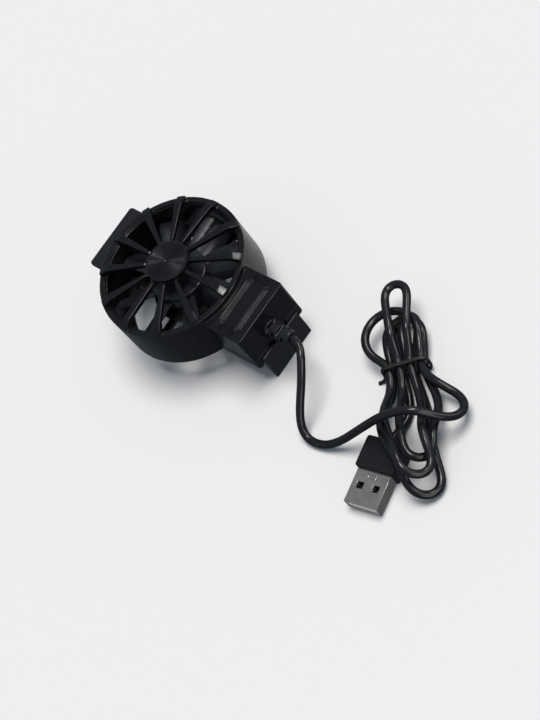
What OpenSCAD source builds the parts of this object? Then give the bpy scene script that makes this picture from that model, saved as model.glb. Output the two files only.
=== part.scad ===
// Clip-on phone cooler: a fan in a round tube over a sprung clamp, with its lead, tied hank and plug.
// Millimetres. The origin lies on the fan's axis in the plane of the phone's back, with the grille up.

/* [Tube and grille] */
// Outside diameter of the fan tube and of the grille's ring
tube_d = 54; // [52:0.5:58]
// Wall of the fan tube
tube_wall = 1.9; // [1.6:0.1:2.2]
// Height of the grille ring's front above the phone's back
ring_top = 21; // [20.5:0.5:24]
// Thickness of the grille's ring
ring_t = 1.5; // [1.2:0.1:2]
// Width of the grille's ring
ring_w = 2.1; // [1.9:0.1:2.6]
// Height of the tube's rear rim above the phone's back
rim_lift = 1.7; // [1.4:0.1:2.2]
// Number of spokes in the grille
spoke_count = 12; // [8:1:14]
// Height of the spokes' flat tops above the ring
spoke_rise = 2.8; // [2.2:0.1:3.4]
// Depth of a spoke
spoke_depth = 1.8; // [1.4:0.1:2.2]
// Width of a spoke at the disc
spoke_w_in = 1.2; // [1:0.1:1.6]
// Width of a spoke at the rim
spoke_w_out = 3.1; // [2.5:0.1:4]
// Diameter of the grooved disc at the grille's middle
disc_d = 15.8; // [14:0.2:18]
// Thickness of the grooved disc
disc_t = 1; // [0.8:0.1:1.4]
// Number of turned grooves in the disc
groove_count = 11; // [4:1:12]

/* [Arm block] */
// Length of the block beyond the tube
block_len = 13.6; // [12.6:0.2:18]
// Width of the block
block_w = 24.6; // [24:0.2:28]
// Wall of the block
block_wall = 1.6; // [1.2:0.1:1.8]
// Step from the grille ring's front down to the block's top
block_drop = 2.3; // [1.8:0.1:3]
// Radius of the block's upright corners
block_corner = 1.2; // [0.6:0.1:1.6]
// Number of engraved lines on the block's top
line_count = 4; // [1:1:4]
// Spacing of the engraved lines
line_step = 0.65; // [0.5:0.05:0.8]
// Width of an engraved line
line_w = 0.3; // [0.2:0.05:0.4]
// Depth of an engraved line
line_depth = 0.3; // [0.2:0.05:0.5]

/* [Clamp] */
// Reach of both jaws past the phone's back
jaw_reach = 9; // [8:0.5:13]
// Width of both jaws
jaw_w = 19.6; // [17:0.2:20.6]
// Thickness of the sliding jaw's plate
jaw_t = 2.2; // [1.8:0.1:2.8]
// Stand of the closed jaw beyond the block's end
jaw_proud = 0.6; // [0.2:0.1:1]
// Pull of the sliding jaw from closed to its stop
jaw_travel = 20; // [14:1:21]
// Length of the sliding jaw's tongue
tongue_len = 33; // [31:0.5:36]
// Width of the tongue
tongue_w = 9.6; // [8.6:0.2:10]
// Thickness of the tongue
tongue_t = 1.8; // [1.5:0.1:2.1]
// Length of the wide stop at the tongue's inner end
stop_len = 3; // [2.6:0.1:3.6]
// Step of the wide stop on each side of the tongue
stop_step = 1.1; // [0.9:0.1:1.3]
// Length of the fixed wing beyond the tube
wing_len = 3.5; // [3:0.1:5]
// Width of the fixed wing
wing_w = 24.4; // [22:0.2:26]
// Thickness of the fixed wing
wing_t = 1.6; // [1.2:0.1:2.2]
// Step from the grille ring's front down to the wing
wing_drop = 0.3; // [0.1:0.1:0.8]
// Thickness of the fixed jaw's plate
fixed_t = 2.4; // [2:0.1:2.6]
// Thickness of the soft jaw pads
jaw_pad_t = 1; // [0.6:0.1:1.4]
// Thickness of the soft strip that meets the phone's back
base_pad_t = 0.6; // [0.4:0.1:1]
// Outside diameter of the jaw's tension spring
spring_d = 2.8; // [2.6:0.1:3.2]
// Wire of the jaw's tension spring
spring_wire = 0.4; // [0.3:0.05:0.5]
// Number of turns in the jaw's tension spring
spring_turns = 14; // [8:1:16]

/* [Fan and motor] */
// Number of blades
blade_count = 8; // [5:1:9]
// Thickness of a blade
blade_t = 0.9; // [0.7:0.1:1.2]
// Height of the blades
blade_h = 6.4; // [6:0.2:8]
// Width of a blade seen from above
blade_w = 8.5; // [8:0.5:11]
// Radius that a blade's section is bent to
blade_bend = 14; // [11:0.5:20]
// Diameter of the fan's hub
hub_d = 20.8; // [20:0.2:23]
// Height of the fan's hub
hub_h = 8.4; // [8:0.2:9.4]
// Wall of the fan's hub
hub_wall = 0.9; // [0.7:0.1:1.1]
// Diameter of the shaft
shaft_d = 2; // [1.8:0.1:2.3]
// Outside diameter of the bearing sleeve
sleeve_d = 4.2; // [4:0.1:4.6]
// Outside diameter of the motor mount's bearing post
post_d = 6; // [5.6:0.1:6.4]
// Thickness of the motor mount's plate
mount_t = 2; // [1.8:0.1:2.4]
// Thickness of the motor mount's bar
bar_t = 1.2; // [1:0.1:1.6]
// Height of the stator core
core_h = 3; // [2.4:0.2:3.4]
// Wall of the magnet ring
magnet_t = 1.5; // [1.2:0.1:1.7]
// Wall of the steel yoke
yoke_t = 0.5; // [0.4:0.1:0.6]
// Thickness of the drive board
board_t = 0.8; // [0.6:0.1:1]

/* [Base tray] */
// Thickness of the tray's floor
floor_t = 0.8; // [0.6:0.1:1.2]
// Wall of the tongue's channel
channel_wall = 1.2; // [1:0.1:1.4]
// Width of the rear guard's ring and the depth of its bars
guard_t = 1.8; // [1.4:0.1:2.2]
// Number of bars in the rear guard on each side of the channel
guard_bars = 3; // [2:1:3]
// Angle between neighbouring bars of the rear guard
guard_spread = 64; // [40:1:66]
// Strip of the tray left above the jaw's notch
notch_strip = 1.6; // [1.3:0.1:1.8]

/* [Lead and plug] */
// Diameter of the lead
cord_d = 2.8; // [2.4:0.1:2.9]
// Length of the strain relief outside the block
relief_len = 10; // [9:0.5:12]
// Diameter of the strain relief at the block
relief_d = 6.8; // [6.4:0.2:7.2]
// Drop of the lead's exit below the block's top
relief_drop = 8.4; // [7.6:0.1:8.5]
// Side step between neighbouring strands at the hank's waist, on both sides together
lane_step = 3.6; // [3.6:0.05:3.8]
// Rise from one level of the hank's loops to the next
layer_step = 3.5; // [3.5:0.05:3.6]
// Thickness of the tie's band
tie_t = 0.8; // [0.6:0.1:1]
// Width of the tie's band
tie_w = 1.4; // [1.2:0.1:2.4]
// Width of the plug's shell
plug_w = 12; // [11.9:0.05:12.1]
// Height of the plug's shell
plug_h = 4.5; // [4.4:0.05:4.6]
// Bare length of the plug's shell
plug_len = 11.75; // [11:0.25:12.5]
// Sheet thickness of the plug's shell
plug_sheet = 0.3; // [0.25:0.05:0.4]
// Length of the plug's overmould
grip_len = 11; // [10:0.5:13]
// Width of the plug's overmould
grip_w = 13.8; // [13.2:0.2:15]
// Height of the plug's overmould
grip_h = 7.4; // [7:0.2:8]

/* [Fits] */
// Clearance of the sliding jaw in its channel and notch
slide_gap = 0.2; // [0.15:0.05:0.3]
// Clearance of the blades in the tube, and of the magnet round the stator
run_gap = 0.6; // [0.4:0.1:0.8]
// Clearance of the hub above the motor mount
hub_gap = 0.6; // [0.4:0.1:0.8]
// Radial clearance of the shaft in its sleeve
shaft_gap = 0.03; // [0.02:0.01:0.05]

/* [Hidden] */
$fn = 96;
over = 1;

// Colours
black_plastic = "#232326";
dark_plastic = "#1a1a1c";
soft_black = "#2b2b2d";
steel = "#b9bcc0";
copper = "#b06a32";

// Radii of the tube and heights of its ends
tube_r = tube_d / 2;
duct_r = tube_r - tube_wall;
tube_top = ring_top - ring_t;
rim_chamfer = 0.6;

// Heights of the tray, the tongue and the channel's lid, from the phone's back upwards
tray_z = base_pad_t;
floor_z = tray_z + floor_t;
tongue_z = floor_z + slide_gap;
tongue_top = tongue_z + tongue_t;
rib_z = tongue_top + slide_gap;
spring_room = 0.4;
lid_z = max(floor_z + spring_d + 2 * spring_room, rib_z + spring_wire + 1);
seam_z = lid_z + 0.4;
notch_z = seam_z - notch_strip;
jaw_top = notch_z - slide_gap;

// Places along the slide
block_end = tube_r + block_len;
jaw_out = block_end + jaw_proud;
jaw_in = jaw_out - jaw_t;
notch_x = jaw_in - slide_gap;
tongue_x = jaw_in - tongue_len;
post_r = 0.8;
jaw_post_x = tongue_x + stop_len / 2;
stop_half = tongue_w / 2 + stop_step;
shoulder_x = tongue_x + stop_len + jaw_travel + slide_gap;
channel_half = stop_half + slide_gap + channel_wall;
channel_x = sqrt(duct_r * duct_r - channel_half * channel_half) - slide_gap;
guide_half = tongue_w / 2 + slide_gap;
guide_out = guide_half + channel_wall;
tray_post_x = -(channel_x - 3);
block_top = ring_top - block_drop;
stand_z = -jaw_reach;

// Screws that hold the tray to the shell, and the motor mount to the tray
case_screw_r = 0.95;
case_head_r = 1.9;
case_head_t = 1.2;
case_boss_r = 2.2;
case_head_z = tray_z + 0.4;
case_screw_x = (tube_r + notch_x) / 2 + 1;
case_screw_y = block_w / 2 - block_wall - case_boss_r + 0.4;
case_screw_top = seam_z + 6;
mount_screw_r = 0.95;
mount_head_r = 1.8;
mount_head_t = 1.2;
mount_boss_r = 2.6;
mount_screw_y = channel_half + 1.7;
mount_head_z = rim_lift + 0.3;

// Heights of the motor, upwards from the mount
mount_top = lid_z + mount_t;
bar_top = lid_z + bar_t;
shoulder_t = 0.6;
board_z = mount_top + shoulder_t;
core_z = board_z + board_t + 0.8;
core_top = core_z + core_h;
coil_out = 0.5;
sleeve_top = core_top + 0.2;
post_top = core_top + 0.4;
post_floor = lid_z + 0.5;
hub_z = mount_top + hub_gap;
hub_top = hub_z + hub_h;
hub_cap = 1.1;
hub_r = hub_d / 2;
hub_in = hub_r - hub_wall;
blade_z = hub_z + 0.3;
blade_r = duct_r - run_gap - 0.2;
blade_turn = 4;
yoke_in = hub_in - yoke_t;
magnet_in = yoke_in - magnet_t;
core_r = magnet_in - run_gap + 0.1;
shaft_r = shaft_d / 2;
shaft_z = post_floor + 0.5;
clip_t = 0.4;
clip_z = shaft_z + 0.3;
clip_room = 0.05;
sleeve_z = clip_z + clip_t + 0.1;
sleeve_bore = shaft_r + shaft_gap;
mount_r = hub_r + 2.6;
wire_d = 0.9;
wire_groove = 2.6;
wire_y = 0.65;

// Engraved lines: the octagon's cut corners, and how much an inset shortens them
line_cut = [2.2, 3.5];
line_draw = norm(line_cut) - line_cut[0] - line_cut[1];

// Grille
spoke_top = ring_top + spoke_rise;
spoke_bend_r = tube_r - 3.7;
spoke_foot_r = tube_r - 0.3;
spoke_end_z = ring_top + 1.3;
seat_top = spoke_top - 0.4;
seat_r = disc_d / 2 - 0.4;
skirt_t = 0.7;
skirt_h = 1.5;

// Lead
cord_r = cord_d / 2;
relief_z = block_top - relief_drop;
relief_neck_r = relief_d / 2 - 0.4;
relief_tip_r = cord_r + 1.2;
relief_flange_t = 1.2;
relief_y = -0.6;
relief_tip = [block_end + relief_len, relief_y, relief_z];

// Hank: its waist, its heading, and the rings in a loop of it
waist = [83, 11];
heading = -46.2;
hank_turns = 3.5;
loop_rings = 24;
tie_room = 0.5;
waist_lift = tie_t + tie_room;
waist_straight = 6;
rise_len = 12;
tip_rise_len = 10;
hump_h = grip_h + 0.5;
hump_margin = 1.8;
hump_len = 16;

// Lobes of the hank in turn, first above its waist and then below it: reach, end radius, side shift, level,
// level at the tip, bulge of the way out and bulge of the way back
lobes = [[20.5, 9.2, -1.6, 2, 2, 0, 0], [42.8, 4.8, 1.6, 1, 2, 3, 0], [28, 4, 3, 3, 3, 0, 0],
         [36.3, 4.4, 2.6, 1, 1, 0.6, 3], [18.5, 6.4, 1.8, 1, 1, 0, 0], [45.8, 5.2, 1.2, 0, 0, 5, 1],
         [22, 4, 2.2, 0, 0, 0, 0]];

// Plug: the middle of its mouth, and the way that it points back along its lead
plug_mouth = [98.8, -34.6];
plug_turn = 102;
plug_mid = grip_h / 2;
plug_back = plug_len + grip_len;
plug_seat = 3;
plug_window = 2.3;

// Route of the free lead above the stand, from the strain relief over the hank to its waist
free_route = [[54.2, -1.1, 19], [56.2, -3.3, 18.6], [58.6, -7.5, 16.6], [60.5, -11.8, 14], [61.2, -15, 11.4],
              [62.6, -20.6, 5.8], [65.8, -23.6, 2.2], [72.6, -23, 2.2], [78.8, -19.8, 5], [86.2, -14.6, 11.2],
              [92.8, -9.8, 16.6], [97.4, -5.8, 18], [102, -2.8, 17.8], [105.6, -0.8, 15], [108.6, 1.2, 11.4],
              [110.6, 4.2, 8], [110.6, 7.8, 5.8], [108.2, 10.6, 5], [104.8, 11.6, 5.2], [100.8, 11.4, 6.4],
              [96.8, 11.4, 7.6], [92.8, 12, 7.4]];

// Route of the lead from the hank's waist to the plug, above the stand
plug_route = [[88.2, 4.8, 1.6], [91.8, 0.8, 1.6], [93.6, -4.2, 2.1]];

// Vectors and swept tubes
function unit(v) = v / norm(v);
function flat(v, n) = unit(v - (v * n) * n);
function tangent(p, i) = unit(p[min(i + 1, len(p) - 1)] - p[max(i - 1, 0)]);
function side_of(t) = abs(t.z) < 0.9 ? unit(cross(t, [0, 0, 1])) : unit(cross(t, [1, 0, 0]));

// Side directions carried along the path, so that the tube doesn't twist
function sides_along(p) = [for (i = 0, s = side_of(tangent(p, 0)); i < len(p);
                                i = i + 1, s = i < len(p) ? flat(s, tangent(p, i)) : s) s];

// A point on a curve through four points, between the second and the third
function through(a, b, c, d, u) = 0.5 * (2 * b + (c - a) * u + (2 * a - 5 * b + 4 * c - d) * u * u
                                         + (3 * b - a - 3 * c + d) * u * u * u);
function smooth_path(p, steps) = [for (i = [0 : len(p) - 2]) for (k = [0 : steps - 1])
                                      through(p[max(i - 1, 0)], p[i], p[i + 1], p[min(i + 2, len(p) - 1)],
                                              k / steps),
                                  p[len(p) - 1]];

module tube(path, radius, faces) {
    side = sides_along(path);
    last = len(path) - 1;
    rings = [for (i = [0 : last]) let (t = tangent(path, i), a = side[i], b = cross(t, a))
                 for (k = [0 : faces - 1])
                     path[i] + radius * (a * cos(360 * k / faces) + b * sin(360 * k / faces))];
    walls = [for (i = [0 : last - 1]) for (k = [0 : faces - 1]) let (n = (k + 1) % faces, a = i * faces)
                 each [[a + k, a + faces + k, a + n], [a + n, a + faces + k, a + faces + n]]];
    ends = [for (k = [1 : faces - 2]) each [[0, k, k + 1],
                                            [last * faces, last * faces + k + 1, last * faces + k]]];
    polyhedron(rings, concat(walls, ends));
}

// Upright box with rounded corners, from one low corner
module rounded_block(size, r) {
    translate([r, 0, 0]) cube([size.x - 2 * r, size.y, size.z]);
    translate([0, r, 0]) cube([size.x, size.y - 2 * r, size.z]);
    for (x = [r, size.x - r]) for (y = [r, size.y - r]) translate([x, y, 0]) cylinder(r = r, h = size.z);
}

module pipe(r, bore, h) {
    difference() {
        cylinder(r = r, h = h);
        translate([0, 0, -over]) cylinder(r = bore, h = h + 2 * over);
    }
}

// Box that is centred across the slide, from x0 to x1 and z0 to z1
module bar(x0, x1, half, z0, z1) {
    translate([x0, -half, z0]) cube([x1 - x0, 2 * half, z1 - z0]);
}

// Long octagon on the block's top, drawn in by the same inset on every side
module octagon(inset) {
    x = block_len / 2 - 2 - inset;
    y = block_w / 2 - 1.05 - inset;
    cut_x = line_cut[0] + inset * line_draw / line_cut[1];
    cut_y = line_cut[1] + inset * line_draw / line_cut[0];
    polygon([[x, y - cut_y], [x - cut_x, y], [cut_x - x, y], [-x, y - cut_y], [-x, cut_y - y], [cut_x - x, -y],
             [x - cut_x, -y], [x, cut_y - y]]);
}

module engraved_lines() {
    middle = (tube_r + block_end) / 2 - 0.9;
    for (i = [0 : line_count - 1]) translate([middle, 0, block_top - line_depth])
        difference() {
            linear_extrude(line_depth + over) octagon(i * line_step);
            translate([0, 0, -over]) linear_extrude(line_depth + 3 * over) octagon(i * line_step + line_w);
        }
}

module case_screw_places() {
    for (y = [-1, 1]) translate([case_screw_x, y * case_screw_y, 0]) children();
}

module mount_screw_places() {
    for (y = [-1, 1]) translate([0, y * mount_screw_y, 0]) children();
}

module fixed_peg_places() {
    for (y = [-1, 1]) translate([0, y * 4.5, (rim_lift + tube_top) / 2]) rotate([0, -90, 0]) children();
}

peg_r = 1.2;
peg_in = tube_r - 1.2;

module tube_wall_solid() {
    difference() {
        rotate_extrude() polygon([[0, rim_lift], [tube_r - rim_chamfer, rim_lift],
                                  [tube_r, rim_lift + rim_chamfer], [tube_r, tube_top], [0, tube_top]]);
        translate([0, 0, rim_lift - over]) cylinder(r = duct_r, h = tube_top - rim_lift + 2 * over);
    }
}

module upper_shell() {
    color(black_plastic) difference() {
        union() {
            tube_wall_solid();
            difference() {
                translate([0, -block_w / 2, seam_z])
                    rounded_block([block_end, block_w, block_top - seam_z], block_corner);
                translate([0, 0, seam_z - over]) cylinder(r = duct_r, h = block_top - seam_z + 2 * over);
                translate([-tube_r, -block_w, seam_z - over]) cube([tube_r, 2 * block_w, block_top]);
                difference() {
                    bar(0, block_end - block_wall, block_w / 2 - block_wall, seam_z - over,
                        block_top - block_wall);
                    translate([0, 0, seam_z - 2 * over]) cylinder(r = tube_r, h = block_top);
                }
            }
            case_screw_places() translate([0, 0, seam_z])
                cylinder(r = case_boss_r, h = block_top - block_wall / 2 - seam_z);
        }
        bar(0, block_end, block_w / 2, 0, seam_z);
        bar(duct_r / 2, tube_r + 0.5, channel_half, seam_z - over, bar_top + wire_d + 0.5);
        case_screw_places() translate([0, 0, seam_z - over])
            cylinder(r = case_screw_r, h = case_screw_top - seam_z + over);
        translate([block_end - block_wall - over, relief_y, relief_z]) rotate([0, 90, 0])
            cylinder(r = relief_neck_r, h = block_wall + 2 * over);
        fixed_peg_places() translate([0, 0, peg_in]) cylinder(r = peg_r, h = tube_wall);
        engraved_lines();
    }
}

module base_tray() {
    color(dark_plastic) difference() {
        union() {
            difference() {
                translate([0, -block_w / 2, tray_z])
                    rounded_block([block_end, block_w, seam_z - tray_z], block_corner);
                translate([0, 0, tray_z - over]) cylinder(r = duct_r, h = seam_z + 2 * over);
                difference() {
                    bar(0, block_end - block_wall, block_w / 2 - block_wall, floor_z, seam_z + over);
                    translate([0, 0, floor_z - over]) cylinder(r = tube_r, h = seam_z);
                }
            }
            case_screw_places() translate([0, 0, tray_z]) cylinder(r = case_boss_r + 0.2, h = seam_z - tray_z);
            bar(-channel_x, tube_r, channel_half, tray_z, lid_z);
            bar(tube_r - over, notch_x, guide_out, tray_z, lid_z);
            translate([0, 0, rim_lift]) pipe(duct_r, duct_r - guard_t, guard_t);
            mount_screw_places() translate([0, 0, rim_lift]) cylinder(r = mount_boss_r, h = lid_z - rim_lift);
            for (side = [90, 270]) for (i = [0 : guard_bars - 1])
                rotate([0, 0, side + guard_spread * (i - (guard_bars - 1) / 2)])
                    bar(channel_half, duct_r - guard_t / 2, 1.1, rim_lift, rim_lift + guard_t);
        }
        difference() {
            bar(channel_wall - channel_x, shoulder_x, channel_half - channel_wall, floor_z, lid_z + over);
            translate([tray_post_x, 0, 0]) cylinder(r = post_r, h = lid_z - slide_gap);
        }
        bar(shoulder_x - over, block_end + over, guide_half, floor_z, lid_z + over);
        bar(duct_r / 2, notch_x, guide_out, lid_z, seam_z + over);
        bar(duct_r / 2, tube_r + 0.5, channel_half, lid_z, seam_z + over);
        bar(notch_x, block_end + over, jaw_w / 2 + slide_gap, tray_z - over, notch_z);
        bar(notch_x - over, block_end - block_wall, jaw_w / 2 + slide_gap, notch_z - over, notch_z);
        case_screw_places() {
            cylinder(r = case_screw_r + 0.15, h = seam_z + over);
            cylinder(r = case_head_r + 0.1, h = case_head_z + case_head_t);
        }
        mount_screw_places() {
            cylinder(r = mount_screw_r + 0.15, h = lid_z + over);
            cylinder(r = mount_head_r + 0.1, h = mount_head_z + mount_head_t);
        }
    }
}

module spoke_section() {
    polygon([[seat_r - 0.5, seat_top - spoke_depth], [seat_r - 0.5, seat_top], [disc_d / 2 + 0.3, seat_top],
             [disc_d / 2 + 1, spoke_top], [spoke_bend_r, spoke_top], [spoke_foot_r, spoke_end_z],
             [spoke_foot_r, ring_top - ring_t / 2], [spoke_foot_r - 1.2, ring_top - ring_t / 2],
             [spoke_bend_r - 0.9, spoke_top - spoke_depth], [disc_d / 2 + 1, spoke_top - spoke_depth]]);
}

module front_grille() {
    outer = spoke_foot_r + over;
    color(black_plastic) {
        translate([0, 0, tube_top]) pipe(tube_r, tube_r - ring_w, ring_t);
        translate([0, 0, tube_top - skirt_h]) pipe(duct_r, duct_r - skirt_t, skirt_h + ring_t / 2);
        translate([0, 0, seat_top - spoke_depth]) cylinder(r = seat_r, h = spoke_depth);
        intersection() {
            rotate_extrude() spoke_section();
            for (i = [0 : spoke_count - 1]) rotate([0, 0, 360 * i / spoke_count])
                translate([0, 0, tube_top]) linear_extrude(spoke_top)
                    polygon([[0, -spoke_w_in / 2], [disc_d / 2, -spoke_w_in / 2], [outer, -spoke_w_out / 2],
                             [outer, spoke_w_out / 2], [disc_d / 2, spoke_w_in / 2], [0, spoke_w_in / 2]]);
        }
    }
}

module hub_disc() {
    face = seat_top + disc_t;
    dimple = 1;
    step = (disc_d / 2 - 0.6 - dimple - 0.6) / groove_count;
    grooves = [for (i = [0 : groove_count - 1]) let (r = dimple + 0.6 + i * step)
                   each [[r, face], [r + step / 3, face - 0.15], [r + step * 2 / 3, face]]];
    color(black_plastic) rotate_extrude()
        polygon(concat([[0, seat_top], [0, face - 0.5], [dimple * 0.6, face - 0.4], [dimple, face]], grooves,
                       [[disc_d / 2 - 0.25, face], [disc_d / 2, face - 0.25], [disc_d / 2, seat_top]]));
}

fixed_out = -(tube_r + wing_len);
fixed_in = fixed_out + fixed_t;
wing_top = ring_top - wing_drop;

module fixed_jaw() {
    color(black_plastic) {
        difference() {
            union() {
                translate([fixed_out, -wing_w / 2, wing_top - wing_t])
                    rounded_block([tube_r, wing_w, wing_t], block_corner);
                bar(fixed_out, 0, 8, rim_lift + rim_chamfer + 0.4, wing_top - wing_t / 2);
            }
            translate([0, 0, -over]) cylinder(r = tube_r, h = ring_top + 2 * over);
        }
        bar(fixed_out, fixed_in, jaw_w / 2, stand_z, wing_top - wing_t / 2);
        fixed_peg_places() translate([0, 0, peg_in]) cylinder(r = peg_r, h = -fixed_in - peg_in + 0.5);
    }
}

// Soft ribbed pad that stands off a jaw's inner face
module gripping_pad(x0, x1, rib_x) {
    z0 = stand_z + 1;
    z1 = -0.5;
    half = jaw_w / 2 - 1;
    color(soft_black) difference() {
        bar(x0, x1, half, z0, z1);
        for (i = [-3 : 3]) translate([rib_x, i * half / 4, z0 - over])
            cylinder(r = 0.4, h = z1 - z0 + 2 * over);
    }
}

module fixed_jaw_pad() {
    gripping_pad(fixed_in, fixed_in + jaw_pad_t, fixed_in + jaw_pad_t);
}

module sliding_jaw_pad() {
    gripping_pad(jaw_in - jaw_pad_t, jaw_in, jaw_in - jaw_pad_t);
}

module base_pad() {
    color(soft_black) bar(0.6 - channel_x, jaw_in - jaw_pad_t - 1.2, guide_half, 0, tray_z);
}

module motor_mount() {
    color(dark_plastic) difference() {
        union() {
            bar(-channel_x, tube_r, channel_half, lid_z, bar_top);
            bar(tube_r - over, notch_x - 1, guide_out, lid_z, bar_top);
            translate([0, 0, lid_z]) cylinder(r = mount_r, h = mount_t);
            mount_screw_places() translate([0, 0, lid_z]) cylinder(r = mount_boss_r, h = bar_t);
            translate([0, 0, lid_z]) cylinder(r = post_d / 2, h = post_top - lid_z);
            translate([0, 0, mount_top - over]) cylinder(r = post_d / 2 + 1, h = shoulder_t + over);
            for (y = [-1, 1]) translate([jaw_post_x + post_r, y * (post_r + 1) - (y < 0 ? guide_half - post_r - 1.4 : 0),
                                         rib_z])
                cube([notch_x - 1 - jaw_post_x - post_r, guide_half - post_r - 1.4, lid_z - rib_z + bar_t / 2]);
        }
        translate([0, 0, post_floor]) cylinder(r = sleeve_d / 2, h = post_top);
        bar(post_d / 2 + 2, mount_r + over, wire_groove / 2, bar_top, mount_top + over);
        mount_screw_places() translate([0, 0, lid_z - over]) cylinder(r = mount_screw_r, h = mount_t + over);
    }
}

// Screw with a cross recess, head down
module screw(head_r, head_t, shank_r, length) {
    difference() {
        union() {
            cylinder(r = head_r, h = head_t);
            cylinder(r = shank_r, h = length);
        }
        for (a = [0, 90]) rotate([0, 0, a]) translate([-head_r * 0.6, -0.2, -over])
            cube([head_r * 1.2, 0.4, over + head_t / 2]);
    }
}

module mount_screws() {
    color(steel) mount_screw_places() translate([0, 0, mount_head_z])
        screw(mount_head_r, mount_head_t, mount_screw_r, mount_top - 0.2 - mount_head_z);
}

module case_screws() {
    color(steel) case_screw_places() translate([0, 0, case_head_z])
        screw(case_head_r, case_head_t, case_screw_r, case_screw_top - 0.5 - case_head_z);
}

module bearing_sleeve() {
    color("#9a7b45") translate([0, 0, sleeve_z]) pipe(sleeve_d / 2, sleeve_bore, sleeve_top - sleeve_z);
}

pole_count = 4;
pole_arm = 2;
shoe_t = 0.8;

module stator_core() {
    ring_r = post_d / 2 + 0.9;
    arm_r = ring_r - 0.4;
    color("#74767a") translate([0, 0, core_z]) {
        pipe(ring_r, post_d / 2, core_h);
        for (i = [0 : pole_count - 1]) rotate([0, 0, 45 + 360 * i / pole_count]) {
            translate([arm_r, -pole_arm / 2, 0]) cube([core_r - shoe_t / 2 - arm_r, pole_arm, core_h]);
            intersection() {
                pipe(core_r, core_r - shoe_t, core_h);
                translate([0, -core_r * 0.46, -over]) cube([core_r * 2, core_r * 0.92, core_h + 2 * over]);
            }
        }
    }
}

module stator_coils() {
    r0 = post_d / 2 + 1.1;
    r1 = core_r - shoe_t - 0.2;
    color(copper) for (i = [0 : pole_count - 1]) rotate([0, 0, 45 + 360 * i / pole_count]) difference() {
        translate([r0, -pole_arm / 2 - coil_out, core_z - coil_out])
            cube([r1 - r0, pole_arm + 2 * coil_out, core_h + 2 * coil_out]);
        translate([r0 - over, -pole_arm / 2, core_z]) cube([r1 - r0 + 2 * over, pole_arm, core_h]);
    }
}

module drive_board() {
    color("#1f5a38") translate([0, 0, board_z]) pipe(core_r, post_d / 2, board_t);
}

// Blade bent round a line that runs outwards from the fan's axis
module blade() {
    chord = norm([blade_w, blade_h]);
    away = sqrt(blade_bend * blade_bend - chord * chord / 4);
    middle = [0, blade_z + blade_h / 2];
    centre = middle + away * [blade_h, -blade_w] / chord;
    intersection() {
        translate([hub_r - hub_wall / 2, centre[0], centre[1]]) rotate([0, 90, 0])
            pipe(blade_bend + blade_t / 2, blade_bend - blade_t / 2, blade_r - hub_r + hub_wall);
        bar(0, tube_r, blade_w / 2, blade_z, blade_z + blade_h);
        cylinder(r = blade_r, h = hub_top);
    }
}

module impeller() {
    color(dark_plastic) {
        difference() {
            union() {
                rotate_extrude() polygon([[0, hub_z], [hub_r, hub_z], [hub_r, hub_top - 0.6],
                                          [hub_r - 0.6, hub_top], [0, hub_top]]);
                for (i = [0 : blade_count - 1]) rotate([0, 0, blade_turn + 360 * i / blade_count]) blade();
            }
            difference() {
                translate([0, 0, hub_z - over]) cylinder(r = hub_in, h = hub_top - hub_cap - hub_z + over);
                translate([0, 0, post_top + 0.4]) cylinder(r = shaft_r + 1.2, h = hub_h);
            }
            translate([0, 0, hub_z]) cylinder(r = shaft_r, h = hub_top - 0.4 - hub_z);
        }
    }
}

module rotor_yoke() {
    z0 = hub_z + 0.4;
    color(steel) translate([0, 0, z0]) pipe(hub_in, yoke_in, hub_top - hub_cap - z0);
}

module magnet_ring() {
    color("#3c3c40") translate([0, 0, core_z - 0.6]) pipe(yoke_in, magnet_in, core_h + 1.2);
}

module rotor_shaft() {
    color(steel) difference() {
        translate([0, 0, shaft_z]) cylinder(r = shaft_r, h = hub_top - 0.4 - shaft_z);
        translate([0, 0, clip_z - clip_room]) pipe(shaft_r + over, shaft_r - 0.3, clip_t + 2 * clip_room);
    }
}

module shaft_clip() {
    color("#e8e6df") translate([0, 0, clip_z]) pipe(sleeve_d / 2 - 0.3, shaft_r - 0.3, clip_t);
}

module sliding_jaw() {
    color(black_plastic) {
        bar(jaw_in, jaw_out, jaw_w / 2, stand_z, jaw_top);
        bar(tongue_x, jaw_in + jaw_t / 2, tongue_w / 2, tongue_z, tongue_top);
        bar(tongue_x, tongue_x + stop_len, stop_half, tongue_z, tongue_top);
        translate([jaw_post_x, 0, tongue_z]) cylinder(r = post_r, h = lid_z - slide_gap - tongue_z);
    }
}

// Tension spring: a hook round each post, and the turns between them
module jaw_spring() {
    wind_r = (spring_d - spring_wire) / 2;
    axis_z = floor_z + spring_room + spring_d / 2;
    hook_r = post_r + spring_wire / 2 + 0.05;
    hook_z = rib_z + spring_wire / 2 + 0.2;
    x0 = tray_post_x + hook_r + 1.6;
    x1 = jaw_post_x - hook_r - 1.6;
    hook_a = [for (a = [-90 : 45 : 90]) [tray_post_x - hook_r * cos(a), hook_r * sin(a), hook_z]];
    hook_b = [for (a = [90 : -45 : -90]) [jaw_post_x + hook_r * cos(a), hook_r * sin(a), hook_z]];
    turns = [for (i = [0 : 8 * spring_turns]) let (a = 90 - 45 * i)
                 [x0 + (x1 - x0) * i / (8 * spring_turns), wind_r * cos(a), axis_z + wind_r * sin(a)]];
    color(steel) tube(concat(hook_a, turns, hook_b), spring_wire / 2, 6);
}

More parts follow.
